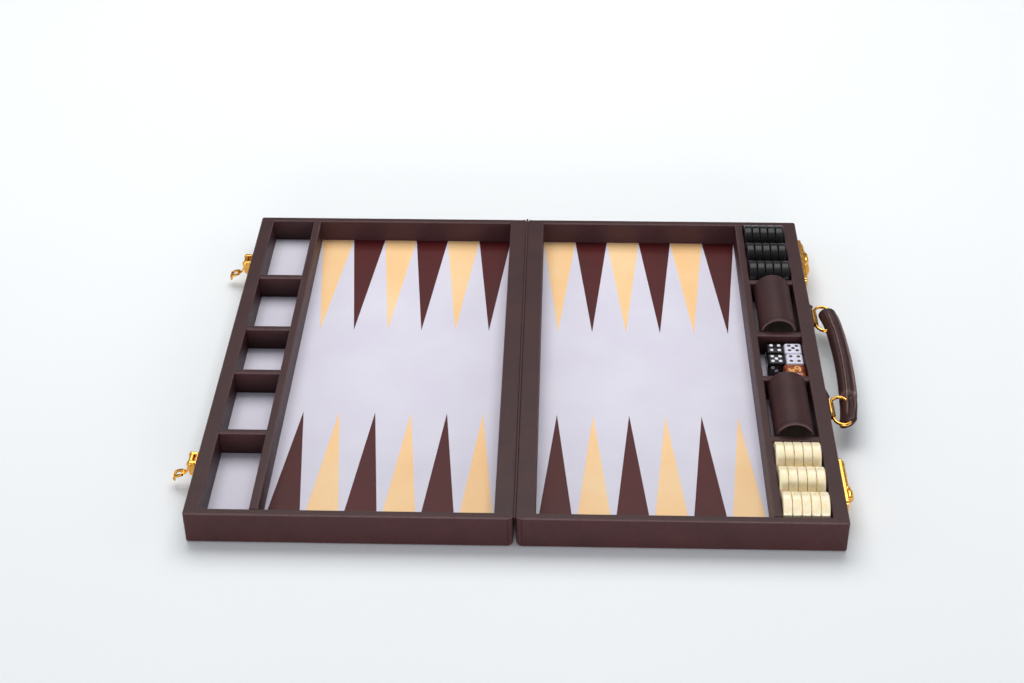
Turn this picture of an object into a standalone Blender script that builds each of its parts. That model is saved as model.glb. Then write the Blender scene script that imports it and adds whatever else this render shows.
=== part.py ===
"""Backgammon set in a folding leather case, opened flat on a table.

The right half is the root. The left half folds over it on a full-length hinge,
the two hasps swing on the left wall, the two thumb catches slide on the right
wall, the handle swings on its rings, and every playing piece lifts out of its
compartment. Distances are in millimetres and scaled once to metres. The hinge
line runs along Y; +X is the half with the playing pieces.
"""
import math

import bmesh
import bpy
from mathutils import Matrix, Vector

MM = 0.001
GAP = 0.3               # clearance between pieces that touch

# case
HALF_W = 271.0          # hinge line to outer wall
DEPTH = 457.0           # front to back
RIM_H = 30.6            # height of one half
SHELL_FLOOR = 5.0
PLAY_H = 8.13           # height of the playing surface
WALL_FB = 7.0           # front and back walls
WALL_OUT = 13.0         # outer side wall
BAR = 16.6              # half of the centre bar
SPINE_GAP = 1.2         # hinge line to the spine face of each half
EDGE_R = 2.2            # rounding of the covered outer edges
RIM_CHAMFER = 0.7

# tray insert
DIVIDER_IN = 209.8      # play side face of the divider
DIVIDER_OUT = 217.4     # tray side face
PARTITION_T = 6.4
PARTITION_Y = (-120.3, -33.9, 33.9, 120.3)

# folding hinge
AXIS_Z = RIM_H + 0.3
KNUCKLE_R = 1.3
PIN_R = 0.7
PIN_BORE = 0.82
LEAF_IN, LEAF_OUT = 0.35, 0.9
LEAF_LOW = 12.0
LEAF_HALF_Y = 214.0
KNUCKLES = 7

# playing pieces
CHECKER_D = 30.4
CHECKER_T = 7.4
CHECKER_PITCH = 7.7
CHECKER_X0 = 221.5
LIGHT_ROWS = (-205.2, -173.0, -140.8)
DARK_ROWS = (139.9, 172.1, 204.3)
CUP_R, CUP_WALL, CUP_LEN, CUP_BASE = 17.0, 2.2, 76.0, 3.0
CUP_X = 237.7
CUP_MOUTHS = {"dice_cup_back": 39.2, "dice_cup_front": -115.0}
DIE = 16.0
DICE = {"die_dark_back": (233.0, 19.8), "die_dark_front": (232.7, 3.0),
        "die_light_back": (249.4, 19.8), "die_light_front": (249.5, 3.4)}
CUBE = 20.0
CUBE_AT = (247.2, -18.7)

# hasps on the left wall
HASP_Y = {"back": 153.5, "front": -155.0}
HASP_AXIS_X, HASP_AXIS_Z = 276.4, 26.6
HASP_KNUCKLE_R = 2.3
HASP_W = 15.0
HASP_LEN = 26.4
HASP_HOLE = 21.0        # axis to the middle of the square hole
HASP_HOLE_W = 6.4
HASP_T = 1.2
HASP_OFFSET = 1.7       # plate stands this far outside its axis
HASP_DROP = 47.0        # degrees below level as it rests on the table

# catches on the right wall
LATCH_Z = 20.4
LATCHES = {             # name: thick part y0, y1; thin part y0, y1; thumb piece middle; travel sign
    "back": (157.0, 204.0, 128.0, 157.0, 172.5, 1.0),
    "front": (-179.2, -142.0, -200.0, -179.2, -185.5, -1.0),
}
LATCH_BASE_T = 3.4
LATCH_PROUD = 5.8
THUMB_L, THUMB_H = {"back": 17.0, "front": 12.0}, 8.0

# handle on the right wall
RING_Y = 70.3
RING_Z = 22.0
RING_X0, RING_X1 = 274.9, 290.6
RING_HALF_Y = 19.5
RING_WIRE = 1.45
GRIP_HALF_Y = 88.5
GRIP_X = 293.7          # middle of the grip's arch
GRIP_SAG = 5.6          # arch: the ends stand nearer the wall
GRIP_RX, GRIP_RZ = 8.8, 8.0

# the hinge line's X, so that the whole set is centred on the origin
LEFT_REACH = 293.6
RIGHT_REACH = 302.5
HINGE_X = (LEFT_REACH - RIGHT_REACH) / 2

COLORS = {
    "leather": (0.075, 0.040, 0.043, 1), "lining": (0.70, 0.66, 0.78, 1), "brass": (0.72, 0.42, 0.10, 1),
    "bronze": (0.10, 0.06, 0.045, 1), "ivory": (0.96, 0.83, 0.58, 1), "black": (0.012, 0.012, 0.014, 1),
    "white": (0.90, 0.88, 0.95, 1), "amber": (0.30, 0.06, 0.012, 1),
}


def start():
    for ob in list(bpy.data.objects):
        bpy.data.objects.remove(ob, do_unlink=True)
    parts = bpy.data.collections.new("backgammon_set")
    cutters = bpy.data.collections.new("cutters")
    bpy.context.scene.collection.children.link(parts)
    bpy.context.scene.collection.children.link(cutters)
    return parts, cutters


PARTS, CUTTERS = start()


def material(ob, kind):
    """One Principled material for each named piece."""
    mat = bpy.data.materials.new(ob.name + "_" + kind)
    mat.use_nodes = True
    shader = mat.node_tree.nodes["Principled BSDF"]
    shader.inputs["Base Color"].default_value = COLORS[kind]
    shader.inputs["Metallic"].default_value = 1.0 if kind in ("brass", "bronze") else 0.0
    shader.inputs["Roughness"].default_value = 0.35
    mat.diffuse_color = COLORS[kind]
    ob.data.materials.clear()
    ob.data.materials.append(mat)


def finish(name, bm, kind, origin=(0.0, 0.0, 0.0), smooth=False):
    """Turn a millimetre mesh in hinge-line coordinates into a named piece with its own origin."""
    bmesh.ops.translate(bm, verts=bm.verts, vec=Vector((HINGE_X, 0, 0)))
    at = Vector(origin) + Vector((HINGE_X, 0, 0))
    bmesh.ops.translate(bm, verts=bm.verts, vec=-at)
    bmesh.ops.scale(bm, verts=bm.verts, vec=(MM, MM, MM))
    bmesh.ops.recalc_face_normals(bm, faces=bm.faces)
    mesh = bpy.data.meshes.new(name)
    bm.to_mesh(mesh)
    bm.free()
    ob = bpy.data.objects.new(name, mesh)
    ob.location = at * MM
    PARTS.objects.link(ob)
    if smooth:
        for poly in mesh.polygons:
            poly.use_smooth = True
    material(ob, kind)
    return ob


def tool(name, bm, origin=(0.0, 0.0, 0.0)):
    """A hidden cutter or joining solid, in the same coordinates as the pieces."""
    bmesh.ops.translate(bm, verts=bm.verts, vec=Vector((HINGE_X, 0, 0)))
    bmesh.ops.scale(bm, verts=bm.verts, vec=(MM, MM, MM))
    bmesh.ops.recalc_face_normals(bm, faces=bm.faces)
    mesh = bpy.data.meshes.new(name)
    bm.to_mesh(mesh)
    bm.free()
    ob = bpy.data.objects.new(name, mesh)
    ob.hide_render = True
    ob.display_type = "WIRE"
    CUTTERS.objects.link(ob)
    return ob


def combine(ob, other, operation):
    mod = ob.modifiers.new(operation.lower(), "BOOLEAN")
    mod.operation = operation
    mod.solver = "EXACT"
    mod.object = other


def box_bm(lo, hi, bevel=0.0, segments=2, edges=None):
    """A box from two corners; bevel rounds all edges, or those the test accepts."""
    bm = bmesh.new()
    bmesh.ops.create_cube(bm, size=1.0)
    size = [hi[i] - lo[i] for i in range(3)]
    mid = [(hi[i] + lo[i]) / 2 for i in range(3)]
    bmesh.ops.scale(bm, verts=bm.verts, vec=size)
    bmesh.ops.translate(bm, verts=bm.verts, vec=mid)
    if bevel > 0:
        chosen = [e for e in bm.edges if edges is None or edges(e)]
        bmesh.ops.bevel(bm, geom=chosen, offset=bevel, segments=segments, profile=0.5, affect="EDGES")
    return bm


def prism_bm(points, axis, lo, hi):
    """Extrude a flat outline: axis 'y' takes (x, z) points, axis 'z' takes (x, y) points."""
    bm = bmesh.new()
    if axis == "y":
        rings = [[bm.verts.new((x, t, z)) for x, z in points] for t in (lo, hi)]
    else:
        rings = [[bm.verts.new((x, y, t)) for x, y in points] for t in (lo, hi)]
    count = len(points)
    for i in range(count):
        j = (i + 1) % count
        bm.faces.new((rings[0][i], rings[0][j], rings[1][j], rings[1][i]))
    bm.faces.new(rings[0])
    bm.faces.new(rings[1])
    bmesh.ops.recalc_face_normals(bm, faces=bm.faces)
    return bm


def lathe_bm(profile, steps):
    """Turn (radius, height) points round Z; ends at radius zero close with a single point."""
    bm = bmesh.new()
    rings = []
    for radius, height in profile:
        if radius < 1e-6:
            rings.append([bm.verts.new((0, 0, height))])
        else:
            rings.append([bm.verts.new((radius * math.cos(2 * math.pi * k / steps),
                                        radius * math.sin(2 * math.pi * k / steps), height))
                          for k in range(steps)])
    for low, high in zip(rings, rings[1:]):
        for k in range(steps):
            j = (k + 1) % steps
            quad = [low[k % len(low)], low[j % len(low)], high[j % len(high)], high[k % len(high)]]
            seen = []
            for v in quad:
                if v not in seen:
                    seen.append(v)
            bm.faces.new(seen)
    return bm


def tube_bm(path, radius, sides):
    """Sweep a round wire along a closed flat loop of (x, y) points at height zero."""
    bm = bmesh.new()
    rings = []
    count = len(path)
    for i in range(count):
        px, py = path[i]
        ax, ay = path[i - 1]
        bx, by = path[(i + 1) % count]
        along = Vector((bx - ax, by - ay, 0)).normalized()
        side = Vector((along.y, -along.x, 0))
        ring = []
        for k in range(sides):
            a = 2 * math.pi * (k + 0.5) / sides
            ring.append(bm.verts.new(Vector((px, py, 0)) + side * (radius * math.cos(a))
                                     + Vector((0, 0, radius * math.sin(a)))))
        rings.append(ring)
    for i in range(count):
        low, high = rings[i], rings[(i + 1) % count]
        for k in range(sides):
            j = (k + 1) % sides
            bm.faces.new((low[k], low[j], high[j], high[k]))
    return bm


def mirror_x(points, side):
    return [(side * x, y) for x, y in points]


def span(side, a, b):
    return (min(side * a, side * b), max(side * a, side * b))


# ---------------------------------------------------------------- case halves
def case_shell(word, side):
    """Covered wooden half: rounded outside, one pocket for the playing surface and the tray."""
    half_y = DEPTH / 2
    x0, x1 = span(side, SPINE_GAP, HALF_W)
    bm = box_bm((x0, -half_y, 0), (x1, half_y, RIM_H), EDGE_R, 2)
    ob = finish("case_shell_" + word, bm, "leather")
    p0, p1 = span(side, BAR, HALF_W - WALL_OUT)
    y1 = half_y - WALL_FB
    cut = bmesh.new()
    levels = ((SHELL_FLOOR, 0.0), (RIM_H - RIM_CHAMFER, 0.0), (RIM_H + 2.0, RIM_CHAMFER + 2.0))
    rings = [[cut.verts.new(v) for v in ((p0 - g, -y1 - g, z), (p1 + g, -y1 - g, z),
                                         (p1 + g, y1 + g, z), (p0 - g, y1 + g, z))] for z, g in levels]
    for low, high in zip(rings, rings[1:]):
        for k in range(4):
            cut.faces.new((low[k], low[(k + 1) % 4], high[(k + 1) % 4], high[k]))
    cut.faces.new(rings[0])
    cut.faces.new(rings[-1])
    combine(ob, tool("pocket_" + word, cut), "DIFFERENCE")
    return ob


def lining(word, side):
    """Covered board that makes the playing surface and the tray floor."""
    x0, x1 = span(side, BAR + GAP, HALF_W - WALL_OUT - GAP)
    y1 = DEPTH / 2 - WALL_FB - GAP
    bm = box_bm((x0, -y1, SHELL_FLOOR + GAP), (x1, y1, PLAY_H))
    return finish("playing_surface_" + word, bm, "lining")


def divider(word, side):
    """Tray divider with its four cross partitions, one comb-shaped insert with eased top edges."""
    y1 = DEPTH / 2 - WALL_FB - GAP
    end = HALF_W - WALL_OUT - GAP
    outline = [(DIVIDER_IN, -y1), (DIVIDER_OUT, -y1)]
    for y in PARTITION_Y:
        outline += [(DIVIDER_OUT, y - PARTITION_T / 2), (end, y - PARTITION_T / 2),
                    (end, y + PARTITION_T / 2), (DIVIDER_OUT, y + PARTITION_T / 2)]
    outline += [(DIVIDER_OUT, y1), (DIVIDER_IN, y1)]
    bm = prism_bm(mirror_x(outline, side), "z", PLAY_H + GAP, RIM_H)
    top = [e for e in bm.edges if all(v.co.z > RIM_H - 0.01 for v in e.verts)
           and not all(abs(abs(v.co.x) - end) < 0.01 for v in e.verts)
           and not all(abs(abs(v.co.y) - y1) < 0.01 for v in e.verts)]
    bmesh.ops.bevel(bm, geom=top, offset=RIM_CHAMFER, segments=1, profile=0.5, affect="EDGES")
    return finish("tray_divider_" + word, bm, "leather")


# ---------------------------------------------------------------- folding hinge
def circle(cx, cz, radius, steps, start=0.0):
    return [(cx + radius * math.cos(start + 2 * math.pi * k / steps),
             cz + radius * math.sin(start + 2 * math.pi * k / steps)) for k in range(steps)]


def hinge_leaf(word, side, first):
    """Thin hinge plate on the spine face, with every other knuckle rolled round the pin."""
    x0, x1 = span(side, LEAF_IN, LEAF_OUT)
    clear = AXIS_Z - KNUCKLE_R - 0.35
    bm = box_bm((x0, -LEAF_HALF_Y, LEAF_LOW), (x1, LEAF_HALF_Y, clear))
    ob = finish("hinge_leaf_" + word, bm, "bronze", origin=(0, 0, AXIS_Z))
    pitch = 2 * LEAF_HALF_Y / KNUCKLES
    for k in range(first, KNUCKLES, 2):
        y0 = -LEAF_HALF_Y + k * pitch + (0.3 if k else 0)
        y1 = -LEAF_HALF_Y + (k + 1) * pitch - (0.3 if k < KNUCKLES - 1 else 0)
        web = box_bm((x0, y0, clear - 1.0), (x1, y1, AXIS_Z - 0.4))
        combine(ob, tool("web_%s_%d" % (word, k), web), "UNION")
        barrel = prism_bm(circle(0, AXIS_Z, KNUCKLE_R, 12, math.pi / 12), "y", y0, y1)
        combine(ob, tool("barrel_%s_%d" % (word, k), barrel), "UNION")
    bore = prism_bm(circle(0, AXIS_Z, PIN_BORE, 12, math.pi / 12), "y", -LEAF_HALF_Y - 2, LEAF_HALF_Y + 2)
    combine(ob, tool("bore_" + word, bore), "DIFFERENCE")
    return ob


def hinge_pin():
    bm = prism_bm(circle(0, AXIS_Z, PIN_R, 12, math.pi / 12), "y", -LEAF_HALF_Y, LEAF_HALF_Y)
    return finish("hinge_pin", bm, "bronze")


# ---------------------------------------------------------------- hasps
def hasp_bracket(word, y):
    """Small brass block on the left wall whose two ears carry the hasp."""
    ear = 3.2
    x_wall = -(HALF_W + GAP)
    bm = box_bm((x_wall - 1.6, y - HASP_W / 2, 13.0), (x_wall, y + HASP_W / 2, 29.2), 0.5, 1)
    ob = finish("hasp_bracket_" + word, bm, "brass")
    for sign in (-1, 1):
        e0, e1 = sorted((y + sign * HASP_W / 2, y + sign * (HASP_W / 2 - ear)))
        arm = box_bm((-HASP_AXIS_X, e0, HASP_AXIS_Z - HASP_KNUCKLE_R + 0.3),
                     (x_wall - 0.8, e1, HASP_AXIS_Z + HASP_KNUCKLE_R - 0.3))
        combine(ob, tool("ear_arm_%s_%d" % (word, sign), arm), "UNION")
        eye = prism_bm(circle(-HASP_AXIS_X, HASP_AXIS_Z, HASP_KNUCKLE_R, 16), "y", e0, e1)
        combine(ob, tool("ear_%s_%d" % (word, sign), eye), "UNION")
    bore = prism_bm(circle(-HASP_AXIS_X, HASP_AXIS_Z, 1.12, 12), "y", y - HASP_W, y + HASP_W)
    combine(ob, tool("ear_bore_" + word, bore), "DIFFERENCE")
    return ob


def hasp(word, y):
    """Swinging hasp: knuckle with its own pin, tapered plate, square eye and a finger lip.

    It is drawn hanging from the axis along +Z with its outer face towards -X, then turned
    down to the angle at which its lip rests just clear of the table.
    """
    axis = Vector((-HASP_AXIS_X, y, HASP_AXIS_Z))
    inner = HASP_W / 2 - 3.2 - 0.25
    outline = [(-inner, 0.0), (inner, 0.0), (inner, 3.4), (inner + 2.9, 6.4), (inner + 2.9, 12.0), (3.4, 15.0),
               (5.6, 16.4), (5.6, HASP_LEN), (-5.6, HASP_LEN), (-5.6, 16.4), (-3.4, 15.0),
               (-inner - 2.9, 12.0), (-inner - 2.9, 6.4), (-inner, 3.4)]
    face = -HASP_OFFSET
    bm = bmesh.new()
    rings = [[bm.verts.new((x, y0, z)) for y0, z in outline] for x in (face - HASP_T / 2, face + HASP_T / 2)]
    count = len(outline)
    for i in range(count):
        j = (i + 1) % count
        bm.faces.new((rings[0][i], rings[0][j], rings[1][j], rings[1][i]))
    bm.faces.new(rings[0])
    bm.faces.new(rings[1])

    def place(mesh):
        turn = Matrix.Rotation(math.radians(-(90 + HASP_DROP)), 4, "Y")
        bmesh.ops.transform(mesh, matrix=Matrix.Translation(axis) @ turn, verts=mesh.verts)
        return mesh

    ob = finish("hasp_" + word, place(bm), "brass", origin=tuple(axis))
    knuckle = prism_bm(circle(0, 0, HASP_KNUCKLE_R, 16), "y", -inner, inner)
    combine(ob, tool("hasp_knuckle_" + word, place(knuckle)), "UNION")
    pin = prism_bm(circle(0, 0, 1.0, 12), "y", -HASP_W / 2, HASP_W / 2)
    combine(ob, tool("hasp_pin_" + word, place(pin)), "UNION")
    lip = box_bm((face - 5.0, -3.0, HASP_LEN - 1.4), (face + 0.2, 3.0, HASP_LEN - 0.1), 0.35, 1)
    combine(ob, tool("hasp_lip_" + word, place(lip)), "UNION")
    hole = box_bm((face - 3, -HASP_HOLE_W / 2, HASP_HOLE - HASP_HOLE_W / 2),
                  (face + 3, HASP_HOLE_W / 2, HASP_HOLE + HASP_HOLE_W / 2))
    combine(ob, tool("hasp_hole_" + word, place(hole)), "DIFFERENCE")
    return ob


# ---------------------------------------------------------------- catches
def bar_profile(proud, half_h, steps=8):
    """Half-round section standing off the right wall."""
    x0 = HALF_W + GAP
    pts = [(x0, LATCH_Z - half_h), (x0, LATCH_Z + half_h)]
    for k in range(steps + 1):
        a = math.pi / 2 - math.pi * k / steps
        pts.append((x0 + 1.0 + (proud - 1.0 - GAP) * math.cos(a), LATCH_Z + half_h * math.sin(a)))
    return pts


def latch_plate(word, spec):
    """Fixed catch: base plate, half-round housing, the post the hasp drops over, thumb slot."""
    thick0, thick1, thin0, thin1, thumb, sign = spec
    x0 = HALF_W + GAP
    lo, hi = min(thick0, thin0), max(thick1, thin1)
    bm = box_bm((x0, lo, LATCH_Z - 9.4), (x0 + LATCH_BASE_T - GAP, hi, LATCH_Z + 7.8), 1.0, 1,
                lambda e: max(v.co.x for v in e.verts) > x0 + 1)
    ob = finish("latch_plate_" + word, bm, "brass")
    house = prism_bm(bar_profile(LATCH_PROUD, 6.4), "y", thick0, thick1 - (1.2 if word == "back" else 0.4))
    combine(ob, tool("latch_house_" + word, house), "UNION")
    y = HASP_Y[word]
    post_z = 2 * AXIS_Z - HASP_AXIS_Z - HASP_HOLE
    post = box_bm((x0 + 1, y - 2.2, post_z - 2.2), (HALF_W + 10.2, y + 2.2, post_z + 2.2), 0.5, 1)
    combine(ob, tool("latch_post_" + word, post), "UNION")
    s0, s1 = sorted((thumb - sign * 4.0, thumb + sign * 11.2))
    slot = box_bm((x0 + 0.9, s0, LATCH_Z + 0.9), (HALF_W + 12, s1, LATCH_Z + 4.1))
    combine(ob, tool("latch_slot_" + word, slot), "DIFFERENCE")
    return ob


def latch_slide(word, spec):
    """Thumb piece with a stem in the slot."""
    thumb = spec[4]
    on_thick = spec[0] <= thumb <= spec[1]
    base = HALF_W + (LATCH_PROUD if on_thick else LATCH_BASE_T) + GAP
    top = HALF_W + (8.8 if on_thick else 7.8)
    z = LATCH_Z + 2.5
    bm = box_bm((base, thumb - THUMB_L[word] / 2, z - THUMB_H / 2), (top, thumb + THUMB_L[word] / 2, z + THUMB_H / 2), 1.0, 2)
    ob = finish("latch_slide_" + word, bm, "brass", origin=(HALF_W, thumb, z))
    stem = box_bm((HALF_W + 1.5, thumb - 3.6, z - 1.25), (base + 0.8, thumb + 3.6, z + 1.25))
    combine(ob, tool("latch_stem_" + word, stem), "UNION")
    return ob


# ---------------------------------------------------------------- handle
def ring_path(y):
    """Rounded D: straight side by the wall, large rounded corners outside."""
    def corner(cx, cy, radius, a0, a1, steps):
        return [(cx + radius * math.cos(math.radians(a0 + (a1 - a0) * k / steps)),
                 cy + radius * math.sin(math.radians(a0 + (a1 - a0) * k / steps))) for k in range(steps + 1)]
    r0, r1 = 3.2, 10.5
    pts = corner(RING_X1 - r1, RING_HALF_Y - r1, r1, 0, 90, 5)
    pts += corner(RING_X0 + r0, RING_HALF_Y - r0, r0, 90, 180, 3)
    pts += corner(RING_X0 + r0, -RING_HALF_Y + r0, r0, 180, 270, 3)
    pts += corner(RING_X1 - r1, -RING_HALF_Y + r1, r1, 270, 360, 5)
    return [(px, py + y) for px, py in pts]


def handle_ring(word, y):
    bm = tube_bm(ring_path(y), RING_WIRE, 8)
    bmesh.ops.translate(bm, verts=bm.verts, vec=(0, 0, RING_Z))
    return finish("handle_ring_" + word, bm, "brass", origin=(RING_X0, 0, RING_Z), smooth=True)


def handle_bracket(word, y):
    """Leather tab on the wall with the brass eye that holds the ring's straight side."""
    x0 = HALF_W + GAP
    bm = box_bm((x0, y - 16.0, RING_Z - 8.0), (x0 + 1.2, y + 16.0, RING_Z + 7.0), 0.4, 1,
                lambda e: max(v.co.x for v in e.verts) > x0 + 0.6)
    ob = finish("handle_bracket_" + word, bm, "brass")
    eye = prism_bm(circle(RING_X0, RING_Z, 2.7, 16), "y", y - 11.0, y + 11.0)
    combine(ob, tool("bracket_eye_" + word, eye), "UNION")
    foot = box_bm((x0 + 0.4, y - 11.0, RING_Z - 2.0), (RING_X0, y + 11.0, RING_Z + 2.0))
    combine(ob, tool("bracket_foot_" + word, foot), "UNION")
    bore = prism_bm(circle(RING_X0, RING_Z, RING_WIRE + 0.15, 16), "y", y - 24.0, y + 24.0)
    combine(ob, tool("bracket_bore_" + word, bore), "DIFFERENCE")
    return ob


def handle_grip():
    """Padded arched grip, fullest at its ends where it closes round the rings."""
    stations = (-1.0, -0.985, -0.945, -0.86, -0.72, -0.5, -0.25, 0.0, 0.25, 0.5, 0.72, 0.86, 0.945, 0.985, 1.0)
    fill = (0.30, 0.62, 0.86, 1.0, 0.97, 0.98, 1.0, 1.0, 1.0, 0.98, 0.97, 1.0, 0.86, 0.62, 0.30)
    sides = 14
    bm = bmesh.new()
    rings = []
    for t, f in zip(stations, fill):
        y = GRIP_HALF_Y * t
        cx = GRIP_X - GRIP_SAG * abs(t) ** 2.0
        rings.append([bm.verts.new((cx + GRIP_RX * f * math.cos(2 * math.pi * k / sides), y,
                                    RING_Z + GRIP_RZ * f * math.sin(2 * math.pi * k / sides)))
                      for k in range(sides)])
    for low, high in zip(rings, rings[1:]):
        for k in range(sides):
            j = (k + 1) % sides
            bm.faces.new((low[k], low[j], high[j], high[k]))
    bm.faces.new(rings[0])
    bm.faces.new(rings[-1])
    ob = finish("handle_grip", bm, "leather", origin=(RING_X0, 0, RING_Z), smooth=True)
    for word, y in (("back", RING_Y), ("front", -RING_Y)):
        channel = tube_bm(ring_path(y), RING_WIRE + 0.4, 8)
        bmesh.ops.translate(channel, verts=channel.verts, vec=(0, 0, RING_Z))
        combine(ob, tool("ring_channel_" + word, channel), "DIFFERENCE")
    return ob


# ---------------------------------------------------------------- playing pieces
def checker(name, x, y, kind):
    """Thick disc with eased edges, standing on its rim."""
    r, t = CHECKER_D / 2, CHECKER_T / 2
    bm = lathe_bm([(0, -t), (r - 1.3, -t), (r, -t + 1.3), (r, t - 1.3), (r - 1.3, t), (0, t)], 24)
    z = PLAY_H + GAP + r
    bmesh.ops.rotate(bm, verts=bm.verts, matrix=Matrix.Rotation(math.pi / 2, 3, "Y"))
    bmesh.ops.translate(bm, verts=bm.verts, vec=(x, y, z))
    return finish(name, bm, kind, origin=(x, y, z), smooth=True)


def dice_cup(name, mouth):
    """Straight leather cup lying on its side, mouth towards the front."""
    ri = CUP_R - CUP_WALL
    profile = [(0, CUP_LEN), (CUP_R - 1.0, CUP_LEN), (CUP_R, CUP_LEN - 1.0), (CUP_R, 0.8), (CUP_R - 0.8, 0),
               (ri + 0.6, 0), (ri, 0.6), (ri, CUP_LEN - CUP_BASE), (0, CUP_LEN - CUP_BASE)]
    bm = lathe_bm(profile, 28)
    z = PLAY_H + GAP + CUP_R
    bmesh.ops.rotate(bm, verts=bm.verts, matrix=Matrix.Rotation(-math.pi / 2, 3, "X"))
    bmesh.ops.translate(bm, verts=bm.verts, vec=(CUP_X, mouth, z))
    return finish(name, bm, "leather", origin=(CUP_X, mouth + CUP_LEN / 2, z), smooth=True)


def cube_piece(name, x, y, size, kind):
    z = PLAY_H + GAP + size / 2
    h = size / 2
    bm = box_bm((x - h, y - h, z - h), (x + h, y + h, z + h), size * 0.11, 2)
    return finish(name, bm, kind, origin=(x, y, z))


def main():
    for word, side in (("right", 1), ("left", -1)):
        case_shell(word, side)
        lining(word, side)
        divider(word, side)
    hinge_leaf("right", 1, 0)
    hinge_leaf("left", -1, 1)
    hinge_pin()
    for word, y in HASP_Y.items():
        hasp_bracket(word, y)
        hasp(word, y)
    for word, spec in LATCHES.items():
        latch_plate(word, spec)
        latch_slide(word, spec)
    for word, y in (("back", RING_Y), ("front", -RING_Y)):
        handle_bracket(word, y)
        handle_ring(word, y)
    handle_grip()
    for kind, tone, rows in (("ivory", "light", LIGHT_ROWS), ("black", "dark", DARK_ROWS)):
        number = 1
        for y in rows:
            for k in range(5):
                checker("checker_%s_%02d" % (tone, number), CHECKER_X0 + k * CHECKER_PITCH, y, kind)
                number += 1
    for name, mouth in CUP_MOUTHS.items():
        dice_cup(name, mouth)
    for name, (x, y) in DICE.items():
        cube_piece(name, x, y, DIE, "black" if "dark" in name else "white")
    cube_piece("doubling_cube", CUBE_AT[0], CUBE_AT[1], CUBE, "amber")


main()
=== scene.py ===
import math

import bmesh
import bpy
import numpy as np
from bpy.props import FloatProperty, FloatVectorProperty, IntProperty, PointerProperty
from mathutils import Euler, Matrix, Vector


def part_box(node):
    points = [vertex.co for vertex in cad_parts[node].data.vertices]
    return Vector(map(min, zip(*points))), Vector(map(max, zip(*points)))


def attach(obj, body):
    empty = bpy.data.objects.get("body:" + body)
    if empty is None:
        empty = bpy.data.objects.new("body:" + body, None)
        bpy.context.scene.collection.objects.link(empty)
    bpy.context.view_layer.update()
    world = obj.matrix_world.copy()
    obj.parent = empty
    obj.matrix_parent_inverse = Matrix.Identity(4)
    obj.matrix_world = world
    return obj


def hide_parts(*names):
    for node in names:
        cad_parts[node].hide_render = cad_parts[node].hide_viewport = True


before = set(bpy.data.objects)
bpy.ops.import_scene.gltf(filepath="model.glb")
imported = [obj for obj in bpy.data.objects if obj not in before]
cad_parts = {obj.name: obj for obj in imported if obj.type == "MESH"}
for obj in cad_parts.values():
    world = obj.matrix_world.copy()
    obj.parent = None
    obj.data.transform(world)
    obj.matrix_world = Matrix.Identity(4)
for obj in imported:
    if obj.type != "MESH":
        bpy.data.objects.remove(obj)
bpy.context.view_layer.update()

bl_info = {
    "name": "Backgammon Set",
    "version": (1, 0, 0),
    "blender": (4, 5, 0),
    "location": "View3D > Sidebar > Backgammon",
    "description": "Leather attache backgammon set: case, trays, brassware, handle and playing pieces",
    "category": "Add Mesh",
}

MM = 0.001
SIDES = {"right": 1, "left": -1}
WALL = 271.3                         # a case half's outer wall stands this far from the hinge line, in mm
RING_NEAR, RING_FAR = 274.9, 290.6   # a handle ring's straight sides, from the hinge line
RING_HALF, RING_HEIGHT = 19.5, 22.0  # half a ring's length along the wall, and its height above the table
RING_PLACE = 70.3                    # each ring's middle, along the wall from the middle of the case
GRIP_OUT, GRIP_BOW = 293.5, 5.4      # the grip's middle line: how far out, and how much its ends curve back
GRIP_WIDE, GRIP_TALL = 8.2, 7.4      # half the grip's width and height
GRIP_HEIGHT = 21.2                   # its middle line above the table
HASP_OUT, HASP_HEIGHT = 276.4, 26.6  # the hasps' pins


def box_mm(node):
    """Lowest and highest corner of a CAD node, in millimetres."""
    lo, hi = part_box(node)
    return np.array(lo) / MM, np.array(hi) / MM


def middle(node):
    """Centre of a CAD node, in millimetres."""
    lo, hi = box_mm(node)
    return (lo + hi) / 2


HINGE = middle("hinge_pin")          # the line that the two halves fold about


# ------------------------------------------------------------------ surfaces
def arc(cx, cy, radius, start, stop, steps):
    """Points on a circle: the centre plus radius times (cos, sin) of equal steps in degrees."""
    a = np.radians(np.linspace(start, stop, steps + 1))
    return np.stack([cx + radius * np.cos(a), cy + radius * np.sin(a)], -1)


def swell(t):
    """Smooth step: 3 t squared less 2 t cubed, held between 0 and 1."""
    t = np.clip(t, 0.0, 1.0)
    return t * t * (3 - 2 * t)


def rounded_loops(x0, x1, y0, y1, radius, along_x, along_y, corner=6):
    """One loop round a rectangle for each row of the inputs.

    A corner is a quarter circle about the point one radius in from both sides; a side is the straight
    line between two corners through the given shares of its length. radius has four columns, for the
    corners (x1, y1), (x0, y1), (x0, y0) and (x1, y0).
    """
    a = np.radians(np.linspace(0, 90, corner + 1))
    x0, x1, y0, y1 = (np.asarray(v, float)[:, None] for v in (x0, x1, y0, y1))
    parts = []
    for k, (cx, sx, cy,
            sy) in enumerate(((x1, 1, y1, 1), (x0, -1, y1, 1), (x0, -1, y0, -1), (x1, 1, y0, -1))):
        r = radius[:, k:k + 1]
        turn = a + math.pi / 2 * k
        parts.append((cx - sx * r + r * np.cos(turn), cy - sy * r + r * np.sin(turn)))
    loops = []
    for k in range(4):
        (px, py), (qx, qy) = parts[k], parts[(k + 1) % 4]
        loops.append(np.stack([px, py], -1))
        share = {0: 1 - along_x[::-1], 1: 1 - along_y[::-1], 2: along_x, 3: along_y}[k][None, :]
        loops.append(np.stack([px[:, -1:] + (qx[:, :1] - px[:, -1:]) * share,
                               py[:, -1:] + (qy[:, :1] - py[:, -1:]) * share], -1))
    return np.concatenate(loops, 1)


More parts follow.
